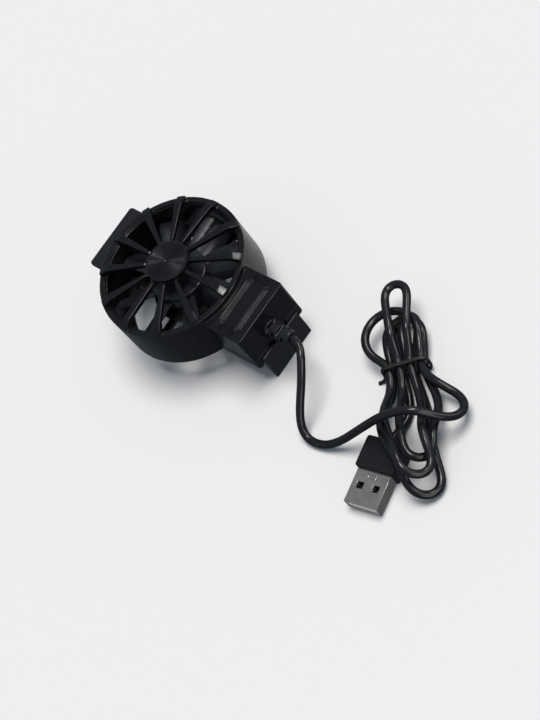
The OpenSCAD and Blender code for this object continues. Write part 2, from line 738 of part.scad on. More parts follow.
module strain_relief() {
    inner = block_end - block_wall - relief_flange_t;
    collar_t = 1.2;
    slot_count = 4;
    slot_core = cord_r + 0.35;
    pitch = (relief_len - collar_t - 0.8) / slot_count;
    slot_w = pitch / 2;
    color(soft_black) translate([0, relief_y, relief_z]) rotate([0, 90, 0]) difference() {
        union() {
            translate([0, 0, inner]) cylinder(r = relief_neck_r + 1, h = relief_flange_t);
            translate([0, 0, inner]) cylinder(r = relief_neck_r, h = relief_flange_t + block_wall + over);
            translate([0, 0, block_end]) rotate_extrude()
                polygon([[0, 0], [relief_d / 2, 0], [relief_d / 2, collar_t],
                         [relief_tip_r, relief_len], [0, relief_len]]);
        }
        for (i = [0 : slot_count - 1], side = [0, 180]) rotate([0, 0, side + 90 * i])
            translate([slot_core, -relief_d, block_end + collar_t + pitch * i])
                cube([relief_d, 2 * relief_d, slot_w]);
    }
}

// Wire from the back of the strain relief down to the drive board
module lead_wire(side) {
    y = side * wire_y;
    z_low = bar_top + wire_d / 2 + 0.05;
    x_back = block_end - block_wall - relief_flange_t;
    tube(smooth_path([[x_back, y, relief_z], [x_back - 2, y, relief_z], [x_back - 5, y, relief_z - 1.6],
                      [tube_r + 3.4, y, z_low + 1.4], [tube_r, y, z_low], [duct_r - 4, y, z_low],
                      [mount_r, y, z_low], [core_r - 0.4, y, z_low], [core_r - 1.2, y, board_z - 0.4],
                      [core_r - 1.3, y, board_z]], 2), wire_d / 2, 6);
}

module lead_wire_red() {
    color("#b3221f") lead_wire(1);
}

module lead_wire_black() {
    color("#111111") lead_wire(-1);
}

function above_stand(p) = [p.x, p.y, p.z + stand_z];

module cord() {
    start = hank_path[0];
    into = start - unit(hank_path[1] - start) * cord_d;
    route = concat([relief_tip + [cord_r, 0, 0]], [for (p = free_route) above_stand(p)], [into]);
    color(soft_black) tube(concat([relief_tip], smooth_path(route, 3), [start]), cord_r, 8);
}

// Hank, counted in turns from the free lead to the plug. Its strands cross the waist in four columns of two
// rows, and between crossings each lobe runs out, round an end circle and back on its own level.
function crossing(i) = lane_step * (hank_turns / 2 - (i % 4) / 2) * (i % 2 == 0 ? 1 : -1);
function row(i) = i < 4 ? layer_step : 0;
function ease(u) = let (v = max(0, min(1, u))) v * v * (3 - 2 * v);
function run_angle(c, aside, r, side) = atan2(aside, c) + side * asin(r / norm([c, aside]));
function run_len(c, aside, r) = sqrt(c * c + aside * aside - r * r);
function bulge(u) = pow(sin(720 * min(u, 0.25)), 2);

// Place along and across a lobe, a share u of the way round it
function lobe_place(i, u) =
    let (q = lobes[i], turn = i % 2 == 0 ? 1 : -1, r = q[1], c = q[0] - r, e = q[2] * turn,
         from = crossing(i) * turn, to = crossing(i + 1) * turn,
         a0 = run_angle(c, e - from, r, 1), a1 = run_angle(c, e - to, r, -1),
         out = run_len(c, e - from, r) * 4 * u, back = run_len(c, e - to, r) * 4 * (1 - u),
         angle = a0 + 90 + (a1 - a0 - 180) * (u - 0.25) * 2,
         p = u < 0.25 ? [out * cos(a0), from + out * sin(a0)]
             : u > 0.75 ? [back * cos(a1), to + back * sin(a1)] : [c + r * cos(angle), e + r * sin(angle)],
         side = p[1] + q[5] * bulge(u) - q[6] * bulge(1 - u), near = u < 0.5 ? from : to)
    [p[0], near + (side - near) * ease(p[0] / waist_straight)];

// Height of a lobe above the hank's lowest strand
function lobe_height(i, u, along) =
    let (q = lobes[i], base = row(u < 0.5 ? i : i + 1), tip_from = u < 0.5 ? 24 : 20,
         level = q[3] + (q[4] - q[3]) * ease((along - tip_from) / tip_rise_len))
    base + (level * layer_step - base) * ease(along / rise_len);

// Hump over the plug, and the parting of the levels on its slope
function hump_share(x, y) =
    let (back = (x - plug_mouth[0]) * cos(plug_turn) + (y - plug_mouth[1]) * sin(plug_turn),
         aside = (y - plug_mouth[1]) * cos(plug_turn) - (x - plug_mouth[0]) * sin(plug_turn),
         off = norm([max(plug_len - back, 0, back - plug_back), max(abs(aside) - grip_w / 2, 0)]))
    max(0, min(1, 1 - (off - hump_margin) / hump_len));

function hank_point(k) =
    let (i = min(floor(2 * k), len(lobes) - 1), u = 2 * k - i, p = lobe_place(i, u),
         along = i % 2 == 0 ? -p[0] : p[0], aside = i % 2 == 0 ? p[1] : -p[1],
         x = waist[0] + along * cos(heading) - aside * sin(heading),
         y = waist[1] + along * sin(heading) + aside * cos(heading), share = hump_share(x, y),
         lift = cord_r + waist_lift * exp(-along * along / 40) + hump_h * ease(share))
    [x, y, stand_z + lift + lobe_height(i, u, p[0]) * (1 + 0.6 * share * (1 - share))];

hank_path = [for (i = [0 : hank_turns * loop_rings]) hank_point(i / loop_rings)];
fine_path = [for (i = [0 : hank_turns * loop_rings * 4]) hank_point(i / loop_rings / 4)];
fine_loop = loop_rings * 4;

// Least gap between the hank's surface and itself, on points at least a third of a loop apart
hank_gap = min([for (i = [0 : len(fine_path) - 1]) for (j = [i + fine_loop / 3 : len(fine_path) - 1])
                    norm(fine_path[i] - fine_path[j])]) - cord_d;

module cord_hank() {
    echo(hank_gap = hank_gap);
    color(soft_black) tube(hank_path, cord_r, 6);
}

function plug_place(back, z) = [plug_mouth[0] + back * cos(plug_turn), plug_mouth[1] + back * sin(plug_turn),
                                stand_z + z];

module plug_lead() {
    last = len(hank_path) - 1;
    end = hank_path[last];
    out = end + unit(end - hank_path[last - 1]) * cord_d;
    route = concat([out], [for (p = plug_route) above_stand(p)], [plug_place(plug_back + cord_d, plug_mid)]);
    color(soft_black) tube(concat([end], smooth_path(route, 2), [plug_place(plug_back, plug_mid)]), cord_r, 8);
}

// Band round the hank's waist, lying on the stand
module cord_tie() {
    pad = cord_r + tie_room;
    inner = [crossing(0) - crossing(1) + 2 * pad, layer_step + 2 * pad, tie_w + 2 * over];
    color("#161617") translate([waist[0], waist[1], stand_z]) rotate([0, 0, heading]) rotate([90, 0, 90])
        translate([crossing(1) - pad - tie_t, 0, -tie_w / 2]) difference() {
            rounded_block([inner.x + 2 * tie_t, inner.y + 2 * tie_t, tie_w], pad + tie_t);
            translate([tie_t, tie_t, -over]) rounded_block(inner, pad);
        }
}

// Frame of the plug: x back along the lead from its mouth, z up from the stand
module at_plug() {
    translate([plug_mouth[0], plug_mouth[1], stand_z]) rotate([0, 0, plug_turn]) children();
}

module plug_overmould() {
    corner = 1;
    color(black_plastic) at_plug() difference() {
        translate([plug_len, -grip_w / 2, 0]) rounded_block([grip_len, grip_w, grip_h], corner);
        bar(plug_len - over, plug_len + plug_seat, plug_w / 2, plug_mid - plug_h / 2, plug_mid + plug_h / 2);
    }
}

module plug_shell() {
    color("#c9cbce") at_plug() difference() {
        bar(0, plug_len + plug_seat, plug_w / 2, plug_mid - plug_h / 2, plug_mid + plug_h / 2);
        bar(-over, plug_len + plug_seat + over, plug_w / 2 - plug_sheet, plug_mid - plug_h / 2 + plug_sheet,
            plug_mid + plug_h / 2 - plug_sheet);
        for (y = [-1, 1]) translate([5.2, y * 2.9 - plug_window / 2, 0])
            cube([plug_window, plug_window, grip_h]);
    }
}

tongue_h = 2.9;

module plug_tongue() {
    base = plug_mid - plug_h / 2 + plug_sheet;
    color("#dedcd6") at_plug() difference() {
        bar(0.4, plug_len + plug_seat, plug_w / 2 - plug_sheet, base, base + tongue_h);
        for (y = [-1, 1]) translate([5.2, y * 2.9 - plug_window / 2, base + 0.7])
            cube([plug_window, plug_window, grip_h]);
    }
}

module plug_contacts() {
    z = plug_mid - plug_h / 2 + plug_sheet + tongue_h;
    color("#c79b3b") at_plug() for (y = [-3.5, -1, 1, 3.5])
        translate([1.4, y - 0.5, z]) cube([3.4, 1, 0.2]);
}

upper_shell();
base_tray();
front_grille();
hub_disc();
fixed_jaw();
fixed_jaw_pad();
base_pad();
motor_mount();
mount_screws();
case_screws();
bearing_sleeve();
stator_core();
stator_coils();
drive_board();
impeller();
rotor_yoke();
magnet_ring();
rotor_shaft();
shaft_clip();
sliding_jaw();
sliding_jaw_pad();
jaw_spring();
strain_relief();
lead_wire_red();
lead_wire_black();
cord();
cord_hank();
plug_lead();
cord_tie();
plug_overmould();
plug_shell();
plug_tongue();
plug_contacts();
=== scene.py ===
"""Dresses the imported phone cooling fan: meshes, finishes, lights and camera, in the CAD part's frame."""

import logging
import math
from collections.abc import Callable, Sequence
from dataclasses import dataclass, field
from enum import Enum

import bmesh
import bpy
from mathutils import Matrix, Vector


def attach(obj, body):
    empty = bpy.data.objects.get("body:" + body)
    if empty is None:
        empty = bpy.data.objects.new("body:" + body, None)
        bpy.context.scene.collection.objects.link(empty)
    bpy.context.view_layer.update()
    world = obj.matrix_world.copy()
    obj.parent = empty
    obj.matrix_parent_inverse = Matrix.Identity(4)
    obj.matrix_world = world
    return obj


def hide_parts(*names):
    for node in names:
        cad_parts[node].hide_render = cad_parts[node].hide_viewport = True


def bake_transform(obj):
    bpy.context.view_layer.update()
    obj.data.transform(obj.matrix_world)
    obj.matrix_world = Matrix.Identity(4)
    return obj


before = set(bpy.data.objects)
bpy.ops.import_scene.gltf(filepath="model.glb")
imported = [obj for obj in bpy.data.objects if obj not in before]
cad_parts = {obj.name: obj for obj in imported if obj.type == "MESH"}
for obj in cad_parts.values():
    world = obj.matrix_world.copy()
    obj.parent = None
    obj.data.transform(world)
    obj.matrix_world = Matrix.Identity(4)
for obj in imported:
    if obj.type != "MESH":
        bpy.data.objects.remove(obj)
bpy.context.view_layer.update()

MM = 0.001
STAND_Z = -9.0
WELD_MM = 0.002
FLAT_DEG = 0.5
SHARP_DEG = 28.0
PLUG_MOUTH = (98.8, -34.6)
PLUG_TURN = math.radians(102)
HOUSING = "housing"
ROTOR = "rotor"
JAW = "jaw"
LOG = logging.getLogger("phone_fan")

Point = tuple[float, float, float]
Colour = tuple[float, float, float]
Box = tuple[float, float, float, float]


class Family(Enum):
    """The ways in which a finish is made."""

    MOULDED = "moulded"
    TURNED = "turned"
    SHEATH = "sheath"
    METAL = "metal"
    WOUND = "wound"
    # A pale insert whose colour carries painted shade behind the plug's mouth
    INSERT = "insert"


@dataclass(frozen=True)
class Finish:
    """One finish: its record slot and the values its material is made from."""

    name: str
    slot: str
    family: Family
    colour: Colour
    roughness: float
    specular: float = 0.5
    grain: float = 5200.0
    grain_mm: float = 0.02
    dust: float = 0.25
    metallic: float = 0.0
    spread: float = 0.12


SHELL = Finish("satin_shell", "shell_black", Family.MOULDED, (0.0045, 0.0048, 0.006), 0.22, 0.26,
               grain_mm=0.008)
GRILLE = Finish("satin_grille", "shell_black", Family.MOULDED, (0.0028, 0.0029, 0.0034), 0.23, 0.42,
                grain_mm=0.008)
JAWS = Finish("satin_jaw", "shell_black", Family.MOULDED, (0.008, 0.0085, 0.0102), 0.24, 0.4,
              grain_mm=0.008)
TRAY = Finish("matt_tray", "dark_plastic", Family.MOULDED, (0.0085, 0.0088, 0.01), 0.34, 0.2)
DISC = Finish("turned_disc", "disc_black", Family.TURNED, (0.004, 0.0042, 0.005), 0.22, 0.4,
              grain_mm=0.004, dust=0.1)
BLADES = Finish("blade_plastic", "blade_black", Family.MOULDED, (0.0095, 0.0108, 0.014), 0.26, 0.6,
                grain_mm=0.004)
PADS = Finish("soft_pads", "soft_rubber", Family.MOULDED, (0.014, 0.014, 0.014), 0.72, grain=3400.0,
              grain_mm=0.03)
STEEL = Finish("plain_steel", "steel", Family.METAL, (0.55, 0.56, 0.57), 0.3, metallic=1.0)
CORE = Finish("stacked_steel", "core_steel", Family.METAL, (0.3, 0.31, 0.32), 0.45, metallic=1.0)
BRONZE = Finish("sintered_bronze", "bronze", Family.METAL, (0.42, 0.29, 0.13), 0.5, metallic=1.0)
GILT = Finish("plated_contact", "gilt", Family.METAL, (0.62, 0.43, 0.13), 0.22, metallic=1.0)
NICKEL = Finish("nickel_sheet", "nickel", Family.METAL, (0.62, 0.555, 0.49), 0.25, metallic=1.0, dust=0.1,
                spread=0.3)
COPPER = Finish("enamelled_copper", "copper", Family.WOUND, (0.5, 0.18, 0.06), 0.28, metallic=1.0)
FERRITE = Finish("pressed_ferrite", "ferrite", Family.MOULDED, (0.045, 0.045, 0.05), 0.55)
BOARD = Finish("coated_board", "board_green", Family.MOULDED, (0.015, 0.1, 0.045), 0.32, grain=1600.0)
NYLON = Finish("plain_nylon", "nylon", Family.MOULDED, (0.72, 0.69, 0.62), 0.5)
LEAD = Finish("lead_sheath", "lead_black", Family.SHEATH, (0.0048, 0.005, 0.0058), 0.2, 0.5, grain_mm=0.004,
              dust=0.2)
RELIEF = Finish("relief_sheath", "lead_black", Family.MOULDED, (0.0055, 0.006, 0.0075), 0.24, 0.5,
                grain_mm=0.008)
RED_WIRE = Finish("red_wire", "wire_red", Family.SHEATH, (0.42, 0.015, 0.012), 0.35)
TIE = Finish("tie_plastic", "tie_black", Family.SHEATH, (0.007, 0.007, 0.0075), 0.45, grain_mm=0.01)
GRIP = Finish("grip_moulding", "grip_black", Family.MOULDED, (0.005, 0.0052, 0.0064), 0.42, 0.3,
              grain=4200.0, grain_mm=0.022)
# The tongue's colour gets painted shade behind the plug's mouth
TONGUE = Finish("tongue_moulding", "tongue_pale", Family.INSERT, (0.7, 0.69, 0.67), 0.42, dust=0.0)


def add_node(tree: bpy.types.NodeTree, kind: str, values: dict[int | str, object] | None = None,
             **settings: object) -> bpy.types.Node:
    """Adds a node, then sets or links its inputs.

    Args:
        tree: The node tree that it goes in.
        kind: The node's type.
        values: What each input gets: a plain value, or a socket to link from.
        **settings: The node's own properties.

    Returns:
        The node.
    """
    node = tree.nodes.new(kind)
    for label, value in settings.items():
        setattr(node, label, value)
    for label, value in (values or {}).items():
        if isinstance(value, bpy.types.NodeSocket):
            tree.links.new(value, node.inputs[label])
        else:
            node.inputs[label].default_value = value
    return node


def mixed(tree: bpy.types.NodeTree, share: bpy.types.NodeSocket, first: object, second: object
          ) -> bpy.types.NodeSocket:
    """Mixes two colours, each of them plain or a socket."""
    mix = add_node(tree, "ShaderNodeMix", {"Factor": share, "A": first, "B": second}, data_type="RGBA")
    return mix.outputs["Result"]


def start_paint(name: str, values: dict[str, object]) -> tuple[bpy.types.Material, bpy.types.Node]:
    """Makes a material and sets its Principled shader.

    Args:
        name: The material's name.
        values: What the shader's inputs get.

    Returns:
        The material and its shader.
    """
    made = bpy.data.materials.new(name)
    made.use_nodes = True
    shader = next(node for node in made.node_tree.nodes if node.type == "BSDF_PRINCIPLED")
    for label, value in values.items():
        shader.inputs[label].default_value = value
    return made, shader


class ShaderGroups:
    """Shader node groups that several finishes share, each made once."""

    tone_scale: float = 85.0
    cell_share: float = 0.55
    cell_height: float = 0.5
    speck_scale: float = 420.0
    speck_size: float = 0.075
    speck_rarity: float = 0.9
    smear_scale: float = 150.0
    streak_tone_scale: float = 160.0

    def __init__(self) -> None:
        """Builds every group."""
        self.grain = self._grain()
        self.marks = self._marks()
        self.streaks = self._streaks()

    @staticmethod
    def _open(name: str, extra: str, kind: str, outputs: Sequence[str]) -> bpy.types.NodeTree:
        """Makes a group that takes coordinates and one more value.

        Args:
            name: The group's name.
            extra: Name of the value that it takes besides coordinates.
            kind: That value's socket type.
            outputs: Names of the values that it gives.

        Returns:
            The node tree with its two end nodes, named Ins and Outs.
        """
        tree = bpy.data.node_groups.new(name, "ShaderNodeTree")
        for label, socket in (("Vector", "NodeSocketVector"), (extra, kind)):
            tree.interface.new_socket(name=label, in_out="INPUT", socket_type=socket)
        for label in outputs:
            tree.interface.new_socket(name=label, in_out="OUTPUT", socket_type="NodeSocketFloat")
        add_node(tree, "NodeGroupInput", name="Ins")
        add_node(tree, "NodeGroupOutput", name="Outs")
        return tree

    def _grain(self) -> bpy.types.NodeTree:
        """Fine moulded texture: its height, and a slow change of tone.

        Returns:
            The group.
        """
        tree = self._open("Moulded grain", "Grain", "NodeSocketFloat", ["Height", "Tone"])
        ins, outs = tree.nodes["Ins"].outputs, tree.nodes["Outs"].inputs
        place = ins["Vector"]
        fine = add_node(tree, "ShaderNodeTexNoise", {"Vector": place, "Scale": ins["Grain"], "Detail": 3.0})
        coarse = add_node(tree, "ShaderNodeMath", {0: ins["Grain"], 1: self.cell_share},
                          operation="MULTIPLY")
        cells = add_node(tree, "ShaderNodeTexVoronoi", {"Vector": place, "Scale": coarse.outputs[0]})
        slow = add_node(tree, "ShaderNodeTexNoise",
                        {"Vector": place, "Scale": self.tone_scale, "Detail": 2.0})
        total = add_node(tree, "ShaderNodeMath", {0: cells.outputs["Distance"], 1: self.cell_height,
                                                  2: fine.outputs["Fac"]}, operation="MULTIPLY_ADD")
        tree.links.new(total.outputs[0], outs["Height"])
        tree.links.new(slow.outputs["Fac"], outs["Tone"])
        return tree

    def _marks(self) -> bpy.types.NodeTree:
        """Handling: sparse specks of dust, and smears that dull the gloss.

        Returns:
            The group.
        """
        tree = self._open("Handling marks", "Amount", "NodeSocketFloat", ["Dust", "Smear"])
        ins, outs = tree.nodes["Ins"].outputs, tree.nodes["Outs"].inputs
        place = ins["Vector"]
        specks = add_node(tree, "ShaderNodeTexVoronoi", {"Vector": place, "Scale": self.speck_scale})
        near = add_node(tree, "ShaderNodeMath", {0: specks.outputs["Distance"], 1: self.speck_size},
                        operation="LESS_THAN")
        split = add_node(tree, "ShaderNodeSeparateColor", {0: specks.outputs["Color"]})
        chosen = add_node(tree, "ShaderNodeMath", {0: split.outputs[0], 1: self.speck_rarity},
                          operation="GREATER_THAN")
        both = add_node(tree, "ShaderNodeMath", {0: near.outputs[0], 1: chosen.outputs[0]},
                        operation="MULTIPLY")
        scaled = add_node(tree, "ShaderNodeMath", {0: both.outputs[0], 1: ins["Amount"]},
                          operation="MULTIPLY")
        smear = add_node(tree, "ShaderNodeTexNoise",
                         {"Vector": place, "Scale": self.smear_scale, "Detail": 4.0, "Distortion": 1.2})
        tree.links.new(scaled.outputs[0], outs["Dust"])
        tree.links.new(smear.outputs["Fac"], outs["Smear"])
        return tree

    def _streaks(self) -> bpy.types.NodeTree:
        """Drawn streaks along one way: their height and tone.

        Returns:
            The group.
        """
        tree = self._open("Drawn streaks", "Stretch", "NodeSocketVector", ["Height", "Tone"])
        ins, outs = tree.nodes["Ins"].outputs, tree.nodes["Outs"].inputs
        scaled = add_node(tree, "ShaderNodeVectorMath", {0: ins["Vector"], 1: ins["Stretch"]},
                          operation="MULTIPLY")
        lines = add_node(tree, "ShaderNodeTexNoise", {"Vector": scaled.outputs[0], "Scale": 1.0,
                                                      "Detail": 5.0})
        slow = add_node(tree, "ShaderNodeTexNoise",
                        {"Vector": ins["Vector"], "Scale": self.streak_tone_scale})
        tree.links.new(lines.outputs["Fac"], outs["Height"])
        tree.links.new(slow.outputs["Fac"], outs["Tone"])
        return tree


class Paints:
    """Makes each finish's material once."""

    dust_grey: tuple[float, ...] = (0.22, 0.22, 0.23, 1.0)
    # Painted shade inside the plug's shell: the dark colour the insert fades to, and the depths behind the
    # mouth where the fade starts and where it is full
    painted_inner_shade: tuple[float, ...] = (0.02, 0.019, 0.017, 1.0)
    painted_shade_from: float = 2.0
    painted_shade_full: float = 4.0
    drawn: Point = (9000.0, 400.0, 9000.0)
    wound: Point = (900.0, 900.0, 6500.0)
    smear_low: float = 0.3
    smear_high: float = 0.7
    least_dulled: float = -0.04
    most_dulled: float = 0.06
    bump_strength: float = 0.35

    def __init__(self) -> None:
        """Builds the shared groups."""
        self.groups = ShaderGroups()
        self.made: dict[str, bpy.types.Material] = {}

    def material(self, finish: Finish) -> bpy.types.Material:
        """Gives the material of a finish.

        Args:
            finish: The finish to look up or make.

        Returns:
            The material.
        """
        if finish.name not in self.made:
            self.made[finish.name] = self._make(finish)
        return self.made[finish.name]

    def _tinted(self, tree: bpy.types.NodeTree, finish: Finish, tone: bpy.types.NodeSocket,
                dust: bpy.types.NodeSocket) -> bpy.types.NodeSocket:
        """Colour that varies with the tone and carries the dust."""
        dark, light = ((*[min(1.0, c * share) for c in finish.colour], 1.0)
                       for share in (1 - finish.spread, 1 + finish.spread))
        return mixed(tree, dust, mixed(tree, tone, dark, light), self.dust_grey)

    def _painted_shade(self, tree: bpy.types.NodeTree, place: bpy.types.NodeSocket, colour: bpy.types.NodeSocket
                  ) -> bpy.types.NodeSocket:
        """Colour with painted shade behind the plug's mouth, darkening the insert where its shell would
        shade it.

        Args:
            tree: The material's nodes.
            place: Where the coordinates come from.
            colour: Where the plain colour comes from.

        Returns:
            The socket of the colour with the painted shade.
        """
        back = Vector((math.cos(PLUG_TURN), math.sin(PLUG_TURN), 0.0))
        mouth = back.dot(Vector((*PLUG_MOUTH, 0.0)))
        along = add_node(tree, "ShaderNodeVectorMath", {0: place, 1: back}, operation="DOT_PRODUCT")
        depth = add_node(tree, "ShaderNodeMapRange", {"Value": along.outputs["Value"],
                                                      "From Min": (mouth + self.painted_shade_from) * MM,
                                                      "From Max": (mouth + self.painted_shade_full) * MM})
        return mixed(tree, depth.outputs["Result"], colour, self.painted_inner_shade)

    def _make(self, finish: Finish) -> bpy.types.Material:
        """Builds one material with its Principled shader.

        Args:
            finish: The finish that it shows.

        Returns:
            The material.
        """
        made, shader = start_paint(finish.name, {"Metallic": finish.metallic,
                                                 "Specular IOR Level": finish.specular})
        tree = made.node_tree
        place = tree.nodes.new("ShaderNodeTexCoord").outputs["Object"]
        marks = add_node(tree, "ShaderNodeGroup", {"Vector": place, "Amount": finish.dust},
                         node_tree=self.groups.marks)
        if finish.family in (Family.METAL, Family.WOUND):
            stretch = self.drawn if finish.family is Family.METAL else self.wound
            detail = add_node(tree, "ShaderNodeGroup", {"Vector": place, "Stretch": stretch},
                              node_tree=self.groups.streaks)
        else:
            detail = add_node(tree, "ShaderNodeGroup", {"Vector": place, "Grain": finish.grain},
                              node_tree=self.groups.grain)
        colour = self._tinted(tree, finish, detail.outputs["Tone"], marks.outputs["Dust"])
        # Painted shade: the insert's colour darkens behind the plug's mouth, where its shell would shade it
        if finish.family is Family.INSERT:
            colour = self._painted_shade(tree, place, colour)
        rough = add_node(tree, "ShaderNodeMapRange",
                         {"Value": marks.outputs["Smear"], "From Min": self.smear_low,
                          "From Max": self.smear_high, "To Min": finish.roughness + self.least_dulled,
                          "To Max": finish.roughness + self.most_dulled})
        bump = add_node(tree, "ShaderNodeBump", {"Strength": self.bump_strength,
                                                 "Distance": finish.grain_mm * MM,
                                                 "Height": detail.outputs["Height"]})
        tree.links.new(colour, shader.inputs["Base Color"])
        tree.links.new(rough.outputs["Result"], shader.inputs["Roughness"])
        tree.links.new(bump.outputs["Normal"], shader.inputs["Normal"])
        return made


PAINTS = Paints()


def log_piece(piece: bpy.types.Object, note: str = "") -> None:
    """Reports a finished piece."""
    LOG.info("%s: %d faces %s", piece.name, len(piece.data.polygons), note)


def mesh_object(name: str, shape: bmesh.types.BMesh) -> bpy.types.Object:
    """Turns a bmesh in metres into an object at the origin, and frees it.

    Args:
        name: The object's name.
        shape: The mesh.

    Returns:
        The new object.
    """
    mesh = bpy.data.meshes.new(name)
    shape.to_mesh(mesh)
    shape.free()
    piece = bpy.data.objects.new(name, mesh)
    bpy.context.scene.collection.objects.link(piece)
    return piece


def add_piece(name: str, shape: bmesh.types.BMesh, finish: Finish, smooth_deg: float = 32.0
              ) -> bpy.types.Object:
    """Turns a bmesh in millimetres into an object in metres.

    Args:
        name: The piece's name.
        shape: The mesh, which is freed here.
        finish: The finish it gets.
        smooth_deg: Edges sharper than this stay sharp.

    Returns:
        The new object, at the origin.
    """
    bmesh.ops.scale(shape, vec=(MM, MM, MM), verts=shape.verts)
    piece = mesh_object(name, shape)
    piece.data.materials.append(PAINTS.material(finish))
    piece.data.shade_smooth()
    piece.data.set_sharp_from_angle(angle=math.radians(smooth_deg))
    return piece


def settle(piece: bpy.types.Object, body: str, finish: Finish, *nodes: str) -> bpy.types.Object:
    """Puts a finished piece on its body in place of CAD nodes.

    Args:
        piece: The piece.
        body: The CAD body it rides on.
        finish: Not used.
        *nodes: The CAD nodes it stands for.

    Returns:
        The piece.
    """
    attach(piece, body)
    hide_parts(*nodes)
    log_piece(piece, "for " + ", ".join(nodes))
    return piece


def bake(piece: bpy.types.Object) -> None:
    """Turns a piece's modifiers into plain mesh and removes them.

    Args:
        piece: The piece.
    """
    view = bpy.context.evaluated_depsgraph_get()
    view.update()
    done = bpy.data.meshes.new_from_object(piece.evaluated_get(view), preserve_all_data_layers=True,
                                           depsgraph=view)
    old = piece.data
    piece.modifiers.clear()
    piece.data = done
    done.name = piece.name
    bpy.data.meshes.remove(old)


def dress_node(node: str, finish: Finish) -> None:
    """Gives a CAD node that keeps its shape a better material.

    Args:
        node: The CAD node.
        finish: The finish it gets.
    """
    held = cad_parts[node]
    held.data.materials.clear()
    held.data.materials.append(PAINTS.material(finish))
    LOG.info("%s: dressed as %s", node, finish.name)


def flat_width(_: Vector) -> float:
    """The same bevel on every edge."""
    return 1.0


def eased_copy(node: str, name: str, finish: Finish, width_mm: float,
               share: Callable[[Vector], float] = flat_width, segments: int = 2) -> bpy.types.Object:
    """Copies a CAD node with its sharp edges rounded over.

    Args:
        node: The CAD node.
        name: The new piece's name.
        finish: Its finish.
        width_mm: The bevel's width on a plain edge.
        share: Gives the share of that width for an edge's middle, in millimetres.
        segments: Steps in the bevel.

    Returns:
        The new object, not yet on a body.
    """
    shape = bmesh.new()
    shape.from_mesh(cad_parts[node].data)
    bmesh.ops.remove_doubles(shape, verts=shape.verts, dist=WELD_MM * MM)
    bmesh.ops.join_triangles(shape, faces=shape.faces, angle_face_threshold=math.radians(FLAT_DEG),
                             angle_shape_threshold=math.radians(180))
    layer = shape.edges.layers.float.new("bevel_weight_edge")
    for edge in shape.edges:
        if len(edge.link_faces) == 2 and edge.calc_face_angle(0.0) > math.radians(SHARP_DEG):
            middle = (edge.verts[0].co + edge.verts[1].co) / (2 * MM)
            way = edge.verts[1].co - edge.verts[0].co
            breadth = min(face.calc_area() for face in edge.link_faces) / way.length
            on_rounded_corner = abs(way.z) > 0.99 * way.length and breadth < 4 * width_mm * MM
            edge[layer] = 0.0 if on_rounded_corner else share(middle)
            edge.smooth = on_rounded_corner or edge[layer] > 0.0
    piece = mesh_object(name, shape)
    piece.data.materials.append(PAINTS.material(finish))
    piece.data.shade_smooth()
    bevel = piece.modifiers.new("Eased edges", "BEVEL")
    bevel.limit_method = "WEIGHT"
    bevel.width = width_mm * MM
    bevel.segments = segments
    bevel.use_clamp_overlap = False
    bevel.loop_slide = False
    bevel.miter_outer = "MITER_ARC"
    normals = piece.modifiers.new("Flat faces", "WEIGHTED_NORMAL")
    normals.keep_sharp = True
    normals.weight = 80
    bake(piece)
    return piece


def eased_piece(node: str, name: str, body: str, finish: Finish, width_mm: float,
                share: Callable[[Vector], float] = flat_width, segments: int = 2) -> bpy.types.Object:
    """Puts an eased copy of a CAD node on its body, in the node's place."""
    return settle(eased_copy(node, name, finish, width_mm, share, segments), body, finish, node)


def circle(count: int) -> list[tuple[float, float]]:
    """Cosine and sine of even turns."""
    return [(math.cos(2 * math.pi * k / count), math.sin(2 * math.pi * k / count)) for k in range(count)]


def join_rings(shape: bmesh.types.BMesh, rings: Sequence[Sequence[bmesh.types.BMVert]]
               ) -> list[bmesh.types.BMFace]:
    """Joins closed rings of vertices with faces, each ring to the next.

    Args:
        shape: The mesh that the rings are in.
        rings: The rings, all with the same count; one may be a single vertex, repeated.

    Returns:
        The new faces.
    """
    faces = []
    for low, high in zip(rings, rings[1:]):
        for k in range(len(low)):
            after = (k + 1) % len(low)
            corners = list(dict.fromkeys((low[k], low[after], high[after], high[k])))
            if len(corners) > 2:
                faces.append(shape.faces.new(corners))
    return faces


def revolve(profile: Sequence[tuple[float, float]], steps: int, turn: Matrix = Matrix.Identity(4)
            ) -> bmesh.types.BMesh:
    """Spins a closed outline of radius and height about an axis.

    Args:
        profile: Points of radius and height, in order, in millimetres.
        steps: Facets round the axis.
        turn: Where the axis goes; it starts as Z.

    Returns:
        A closed mesh in millimetres.
    """
    shape = bmesh.new()
    rings = []
    for radius, height in profile:
        if radius < 1e-6:
            rings.append([shape.verts.new((0.0, 0.0, height))] * steps)
        else:
            rings.append([shape.verts.new((radius * c, radius * s, height)) for c, s in circle(steps)])
    join_rings(shape, rings + rings[:1])
    bmesh.ops.recalc_face_normals(shape, faces=shape.faces)
    bmesh.ops.transform(shape, matrix=turn, verts=shape.verts)
    return shape


def round_corners(outline: Sequence[tuple[float, float, float]], steps: int = 5
                  ) -> list[tuple[float, float]]:
    """Rounds the corners of a closed outline.

    Args:
        outline: Points with the radius that each corner gets.
        steps: Segments in a rounded corner.

    Returns:
        The rounded outline's points.
    """
    rounded = []
    count = len(outline)
    for i, (x, y, radius) in enumerate(outline):
        here = Vector((x, y))
        if radius <= 0:
            rounded.append((x, y))
            continue
        before = (Vector(outline[i - 1][:2]) - here).normalized()
        after = (Vector(outline[(i + 1) % count][:2]) - here).normalized()
        half = before.angle(after) / 2
        reach = radius / math.tan(half)
        middle = here + (before + after).normalized() * radius / math.sin(half)
        start, end = here + before * reach - middle, here + after * reach - middle
        sweep = start.angle_signed(end)
        for k in range(steps + 1):
            at = middle + Matrix.Rotation(-sweep * k / steps, 2) @ start
            rounded.append((at.x, at.y))
    return rounded


